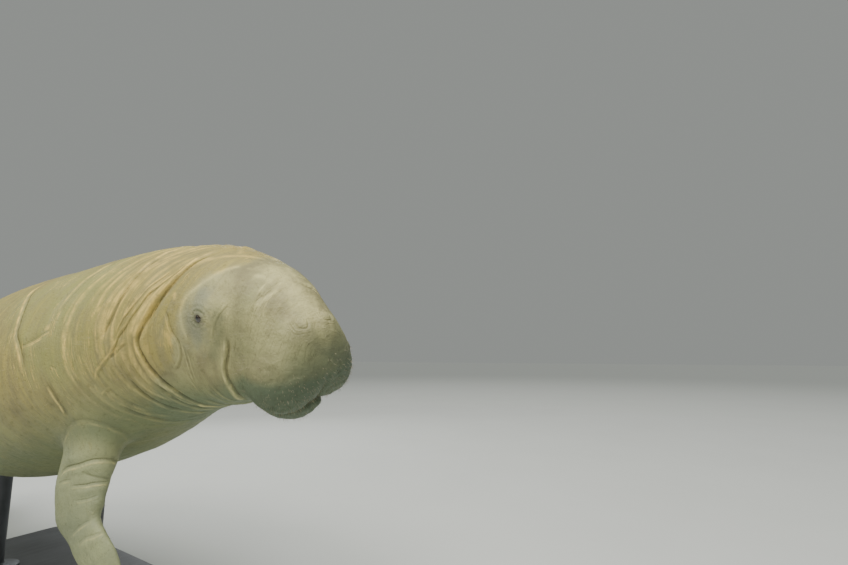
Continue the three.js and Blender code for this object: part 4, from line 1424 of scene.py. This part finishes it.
def colour_maps(straight, maps):
    """Where algae grow, where the hide is darkened below as painted shade, and how each tone lies."""
    station, across, height = straight.T
    middle, tall, _ = section_at(np.minimum(station, TAIL_ROUND_FROM))
    level = (height - middle) / np.maximum(tall, 30)
    angle, _ = half_angle(straight)
    edge = algae_edge_at(angle)
    ragged = 12 * noise(straight / 30, 91) + 6 * noise(straight / 9, 92)
    growth = smooth(-10, 22, station - edge + ragged)
    growth *= 0.18 + 0.82 * smooth(-0.75, 0.12, level)
    growth *= 1 - 0.72 * maps["limb"]
    # The muzzle darkened low and in front: partly its bristly, pored skin, partly painted shade on its lower
    # and far side.
    ahead_and_low = height + 0.9 * (station - 30) + 10 * noise(straight / 26, 93)
    front_low = ahead_and_low + 0.6 * np.maximum(np.abs(across) - 60, 0)
    muzzle_pores_and_shade = 0.6 * (1 - smooth(-60, 70, front_low)) * (1 - smooth(150, 240, station))
    aside = ahead_and_low - 1.2 * (np.abs(across) - 60)
    muzzle_pores_and_shade += 0.34 * (1 - smooth(20, 160, aside)) * (1 - smooth(100, 175, station))
    tawny = 1 - smooth(390, 620, station + 16 * noise(straight / 60, 94))
    # the under map darkens the lower body as painted shade
    return {
        "algae": growth, "under": smooth(0.2, 0.78, -level) * (1 - maps["limb"]), "muzzle": muzzle_pores_and_shade,
        "tawny": tawny,
        **{name: values for name, values in maps.items() if name != "phase"},
    }


def streak_chart(straight, phase):
    """Coordinates whose first axis crosses the streaks: rings on the body, and a fan on the tail."""
    station, across, height = straight.T
    fan = smooth(FAN_FROM - 90, FAN_FROM + 90, station)
    ray = np.arctan2(across, station - FAN_CENTRE) * FAN_RADIUS
    first = (phase - FAN_FROM) * (1 - fan) + ray * fan
    return np.stack([first, across * (1 - fan) + (station - FAN_FROM) * fan, height], 1)


def store(mesh, name, values):
    vector = values.ndim == 2
    attribute = mesh.attributes.new(name, "FLOAT_VECTOR" if vector else "FLOAT", "POINT")
    attribute.data.foreach_set("vector" if vector else "value", values.astype(np.float32).ravel())


def read_vectors(items, key):
    flat = np.empty(len(items) * 3, np.float32)
    items.foreach_get(key, flat)
    return flat.reshape(-1, 3).astype(float)


def coordinates(mesh):
    return read_vectors(mesh.vertices, "co")


def set_coordinates(mesh, points):
    mesh.vertices.foreach_set("co", points.astype(np.float32).ravel())
    mesh.update()


def place_piece(piece, material, slot, *nodes):
    piece.data.materials.clear()
    piece.data.materials.append(material)
    if nodes:
        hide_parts(*nodes)
    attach(piece, "root")


def smooth_shade(piece):
    piece.data.polygons.foreach_set("use_smooth", np.ones(len(piece.data.polygons), bool))
    piece.data.update()


FLESH = [
    "head", "muzzle", "lower_jaw", "neck", "chest", "torso", "rump", "tail_stock", "tail_paddle",
    "flipper_right_arm", "flipper_right_paddle", "flipper_left_arm", "flipper_left_paddle",
]


def make_skin():
    skin = body_mesh()
    make_consistent(skin)
    for side, flipper in FLIPPERS.items():
        unite(skin, flipper_mesh("flipper " + side, flipper))
    refine(skin)
    straight = from_blender(coordinates(skin.data))
    head = straight[:, 0] < HEAD_END
    straight[head] = settle(body_field, straight[head], 2)
    straight, near_root = fillet_roots(skin.data, straight)
    set_coordinates(skin.data, to_blender(straight))
    normals = read_vectors(skin.data.vertex_normals, "vector") * (-1, 1, 1)
    pressed, maps = press_details(straight, normals, 1 - 0.75 * near_root)
    set_coordinates(skin.data, posed(pressed))
    for name, values in colour_maps(straight, maps).items():
        store(skin.data, name, values)
    store(skin.data, "lie", straight * MM)
    store(skin.data, "ring", streak_chart(straight, maps["phase"]) * MM)
    smooth_shade(skin)
    place_piece(skin, skin_material(), "skin_body", *FLESH)
    return pressed, normals


# Eyes

def make_eye(side):
    place, normal = EYES[side]
    centre = posed(place - normal * EYE["sunk"])
    gaze = Vector(posed_direction(place, normal))
    eye = add_new(bpy.ops.mesh.primitive_uv_sphere_add, "eyeball_" + side,
                  segments=48, ring_count=32, radius=EYE["radius"] * MM, location=centre)
    eye.rotation_euler = gaze.to_track_quat("Z", "Y").to_euler()
    bpy.ops.object.transform_apply(location=False, rotation=True, scale=False)
    points = coordinates(eye.data)
    out = points @ np.array(gaze) / (EYE["radius"] * MM)
    spread = np.degrees(np.arccos(np.clip(out, -1, 1))) / 90
    cornea = 1 + 0.05 * np.clip(1 - (spread / 0.5) ** 2, 0, 1)
    set_coordinates(eye.data, points * cornea[:, None])
    bpy.ops.object.transform_apply(location=True, rotation=False, scale=False)
    store(eye.data, "axis", spread)
    store(eye.data, "lie", coordinates(eye.data))
    smooth_shade(eye)
    place_piece(eye, eye_material(), "eye", "eye_" + side)


# Nails

def make_nail(side, number, nail, material):
    """A low arched plate of horn, thinner at its root, set on the outer face of the paddle."""
    place, broad, along, flat = nail_frame(side, nail)
    piece = add_new(bpy.ops.mesh.primitive_uv_sphere_add, f"nail_plate_{side}_{number}",
                    segments=28, ring_count=16, radius=1)
    x, y, z = coordinates(piece.data).T
    z = np.where(z > 0, z * (0.75 + 0.35 * smooth(-1, 0.6, y)), z * 0.6)
    x = x * (1 - 0.22 * smooth(0.2, 1, -y))
    z = z - 0.35 * x**2
    local = np.stack([x * nail["width"] / 2, y * nail["length"] / 2, z * NAIL_THICK / 2], 1)
    straight = place + local @ np.stack([broad, along, flat])
    set_coordinates(piece.data, posed(straight))
    store(piece.data, "lie", local * MM)
    make_consistent(piece)
    smooth_shade(piece)
    place_piece(piece, material, "nail", f"nail_{side}_{number}")


# Bristles and hairs

HAIR_SUNK = 0.8
HAIR_PATCH = 0.003

def root_chart(points):
    """Places on a flat unwrap of the straight skin: along the body, and round it."""
    return np.stack([points[:, 0] / BODY_LENGTH, unwrap(points)[0] / 360], 1) * 0.99


def store_root_chart(mesh, chart, per_hair):
    """A UV map where each hair is one small patch at its root's place on the skin."""
    corners = np.arange(per_hair) / per_hair
    patch = HAIR_PATCH * np.stack([corners, np.sin(corners * 2 * math.pi) / 2 + 0.5], 1)
    spots = (chart[:, None] + patch[None]).reshape(-1, 2)
    layer = mesh.uv_layers.new(name="OFBake")
    loops = np.empty(len(mesh.loops), np.int32)
    mesh.loops.foreach_get("vertex_index", loops)
    layer.data.foreach_set("uv", spots[loops].astype(np.float32).ravel())


def hair_mesh(name, straight, normals, lean_back, lengths, radii, rng, rings, sides=3):
    """Many thin tapered hairs as one mesh, each rooted in the skin and bent a little."""
    roots = posed(straight - normals * HAIR_SUNK)
    directions = posed_direction(straight, normals + np.array(lean_back))
    count = len(roots)
    helper = np.where(np.abs(directions[:, :1]) > 0.8, [[0.0, 1.0, 0.0]], [[1.0, 0.0, 0.0]])
    first = unit(np.cross(directions, helper))
    second = np.cross(directions, first)
    lean = unit(first * rng.normal(size=(count, 1)) + second * rng.normal(size=(count, 1)))
    t = np.linspace(0, 1, rings)
    centres = roots[:, None] + directions[:, None] * (lengths[:, None] * t)[..., None]
    centres = centres + lean[:, None] * (0.16 * lengths[:, None] * t**2)[..., None]
    size = radii[:, None] * (1 - 0.75 * t)
    angles = np.arange(sides) / sides * 2 * math.pi
    around = first[:, None] * np.cos(angles)[None, :, None] + second[:, None] * np.sin(angles)[None, :, None]
    points = centres[:, :, None] + around[:, None] * size[:, :, None, None]
    points = points.reshape(count, rings * sides, 3)
    here = np.arange(sides)
    ahead = (here + 1) % sides
    offsets = np.arange(count)[:, None, None] * rings * sides
    walls = (tube_faces(np.arange(rings - 1) * sides, here, ahead, sides) + offsets).reshape(-1, 4)
    ends = (np.stack([here[::-1], (rings - 1) * sides + here]) + offsets).reshape(-1, sides)
    piece = mesh_object(name, points.reshape(-1, 3), as_faces(walls, ends))
    store(piece.data, "lie", points.reshape(-1, 3))
    store_root_chart(piece.data, root_chart(straight), rings * sides)
    return piece


def make_bristles(pressed, normals):
    """Stiff bristles on lips and chin, and thin hairs that lie back along the body."""
    rng = np.random.default_rng(SEED + 5)
    station, across, height = pressed.T
    material = bristle_material()
    lip = (station < 105) & (height < 0) & (height > -145) & (np.abs(across) < 112)
    chin = (station < 130) & (height < -150)
    weight = np.where(lip, 0.2 + smooth(0, -90, height) * (1 - smooth(40, 105, station)), 0)
    weight += np.where(chin, 0.5, 0)
    body = np.where((station > 110) & (station < 2500), 1.0, 0)
    for name, slot, count, where, lean, length, radius, rings in (
        ("muzzle_bristles", "skin_head", 620, weight, (-0.25, 0, -0.35), (3.5, 9), (0.24, 0.42), 4),
        ("body_hairs", "skin_body", 1500, body, (0.9, 0, 0), (7, 16), (0.15, 0.23), 3),
    ):
        picked = rng.choice(len(pressed), count, replace=False, p=where / where.sum())
        lengths, radii = (rng.uniform(*span, count) * MM for span in (length, radius))
        hairs = hair_mesh(name, pressed[picked], normals[picked], lean, lengths, radii, rng, rings)
        place_piece(hairs, material, slot)


# Stand

ROD_RADIUS = 0.024
ROD_FOOT = [(0.070, 0), (0.070, 0.008), (0.030, 0.014), (ROD_RADIUS, 0.022)]
ROD_INTO_SKIN = 0.004
ROD_WEAR = 0.0012
BASE_CORNER = {"offset": 0.06, "segments": 12}
BASE_TOP_EDGE = {"offset": 0.005, "segments": 4}
SHARP_FROM = 32  # degrees between faces


def make_base():
    """A flat plate with round corners and an eased upper edge."""
    low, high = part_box("stand_base")
    size = high - low
    base = add_new(bpy.ops.mesh.primitive_cube_add, "base_plate", size=1, location=(low + high) / 2)
    base.scale = size
    bpy.ops.object.transform_apply(location=True, rotation=False, scale=True)
    with shell_of(base) as shell:
        upright = [e for e in shell.edges if abs(e.verts[0].co.z - e.verts[1].co.z) > size.z / 2]
        bmesh.ops.bevel(shell, geom=upright, profile=0.5, affect="EDGES", **BASE_CORNER)
        top = [e for e in shell.edges if min(v.co.z for v in e.verts) > high.z - 1e-5]
        bmesh.ops.bevel(shell, geom=top, profile=0.5, affect="EDGES", **BASE_TOP_EDGE)
    smooth_angle(base)
    paint = stand_material("satin paint", srgb(58, 60, 62), srgb(74, 76, 78), 0.0)
    place_piece(base, paint, "stand", "stand_base")


def smooth_angle(piece):
    bpy.ops.object.select_all(action="DESELECT")
    piece.select_set(True)
    bpy.context.view_layer.objects.active = piece
    bpy.ops.object.shade_smooth_by_angle(angle=math.radians(SHARP_FROM))


def make_rod(name, node, material):
    """A turned rod with a low flange at its foot: a disc drawn up level by level."""
    low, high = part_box(node)
    middle = (low + high) / 2
    levels = [*ROD_FOOT, (ROD_RADIUS, high.z + ROD_INTO_SKIN - low.z)]
    rod = add_new(bpy.ops.mesh.primitive_circle_add, name, vertices=64, radius=levels[0][0],
                  fill_type="NGON", location=(middle.x, middle.y, low.z))
    bpy.ops.object.transform_apply(location=True, rotation=False, scale=False)
    bpy.ops.object.mode_set(mode="EDIT")
    for (radius, height), (wider, lower) in zip(levels[1:], levels):
        bpy.ops.mesh.extrude_region_move(TRANSFORM_OT_translate={"value": (0, 0, height - lower)})
        centre = (middle.x, middle.y, low.z + height)
        bpy.ops.transform.resize(value=(radius / wider, radius / wider, 1), center_override=centre)
    bpy.ops.object.mode_set(mode="OBJECT")
    make_consistent(rod)
    bevel = rod.modifiers.new("worn edges", "BEVEL")
    bevel.width = ROD_WEAR
    bevel.segments = 2
    apply_modifier(rod, bevel)
    smooth_angle(rod)
    place_piece(rod, material, "stand", node)


# Studio

CAMERA = {"place": (1903.3, -696.2, 820.1), "yaw": -33.22, "pitch": 8.29, "roll": 0.35, "focal_px": 473.5}
PHOTO_WIDTH = 848
SENSOR = 36.0


def make_camera():
    data = bpy.data.cameras.new("camera")
    data.sensor_width = SENSOR
    data.lens = SENSOR * CAMERA["focal_px"] / PHOTO_WIDTH
    camera = link("camera", data)
    yaw, pitch, roll = (math.radians(CAMERA[key]) for key in ("yaw", "pitch", "roll"))
    turn = Matrix.Rotation(-yaw, 3, "Z") @ Matrix.Rotation(math.pi / 2 + pitch, 3, "X")
    turn = turn @ Matrix.Rotation(-roll, 3, "Z")
    place = np.array(CAMERA["place"]) * MM + SHIFT
    camera.matrix_world = Matrix.Translation(place) @ turn.to_4x4()
    bpy.context.scene.camera = camera


def make_light(name, kind, power):
    data = bpy.data.lights.new(name, kind)
    data.energy = power
    return link(name, data)


def make_softbox(name, place, aim, size, power, color):
    light = make_light(name, "AREA", power)
    light.data.shape = "RECTANGLE"
    light.data.size, light.data.size_y = size
    light.data.color = color
    light.location = place
    light.rotation_euler = (Vector(aim) - Vector(place)).to_track_quat("-Z", "Y").to_euler()


def make_ceiling(tilt, spread, power):
    """Even soft light from above: tilted in degrees about Y and X, and as wide as a lit ceiling."""
    sun = make_light("ceiling", "SUN", power)
    sun.data.angle = math.radians(spread)
    sun.rotation_euler = (math.radians(-tilt[1]), math.radians(tilt[0]), 0)


def make_studio():
    floor = add_new(bpy.ops.mesh.primitive_plane_add, "floor", size=60)
    n = Nodes("pale floor")
    place = n.add("ShaderNodeTexCoord").outputs["Object"]
    tone = n.texture_noise(place, 1.5, 3.0)
    distance = n.add("ShaderNodeVectorMath", operation="LENGTH")
    n.put(distance.inputs[0], place)
    pale = n.mix(tone, srgb(204, 206, 200), srgb(212, 214, 208))
    # the floor darkens with distance from the model: painted shade, as a backdrop falling off into shadow
    far = n.ramp(distance.outputs["Value"], 2.0, 16.0)
    floor.data.materials.append(n.finish(n.mix(far, pale, srgb(150, 153, 148)), 0.9))
    floor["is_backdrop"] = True
    world = bpy.data.worlds.new("soft room")
    world.use_nodes = True
    background = world.node_tree.nodes["Background"].inputs
    background["Color"].default_value = (0.80, 0.84, 0.80, 1)
    background["Strength"].default_value = 0.36
    bpy.context.scene.world = world
    make_ceiling((20, -8), 40, 2.2)
    make_softbox("key", (1.6, -1.9, 3.4), (0.6, -0.1, 0.8), (1.6, 1.2), 100, (1.0, 0.985, 0.92))
    make_softbox("rim", (-2.6, 2.6, 2.4), (0, 0, 0.8), (2.0, 2.0), 35, (0.95, 0.98, 1.0))


make_camera()
make_studio()
pressed_points, pressed_normals = make_skin()
for eye_side in SIDE_SIGN:
    make_eye(eye_side)
horn = nail_material()
for nail_side in SIDE_SIGN:
    for nail_number, nail_sizes in enumerate(NAILS, 1):
        make_nail(nail_side, nail_number, nail_sizes, horn)
make_bristles(pressed_points, pressed_normals)
make_base()
rod_paint = stand_material("dark steel", srgb(70, 72, 75), srgb(90, 92, 95), 0.7)
for rod_end in ("front", "rear"):
    make_rod("rod_" + rod_end, "stand_rod_" + rod_end, rod_paint)

boxes = {"cad": CAD_BOX, "visual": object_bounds()}
{name: [list(corner) for corner in box] for name, box in boxes.items()}
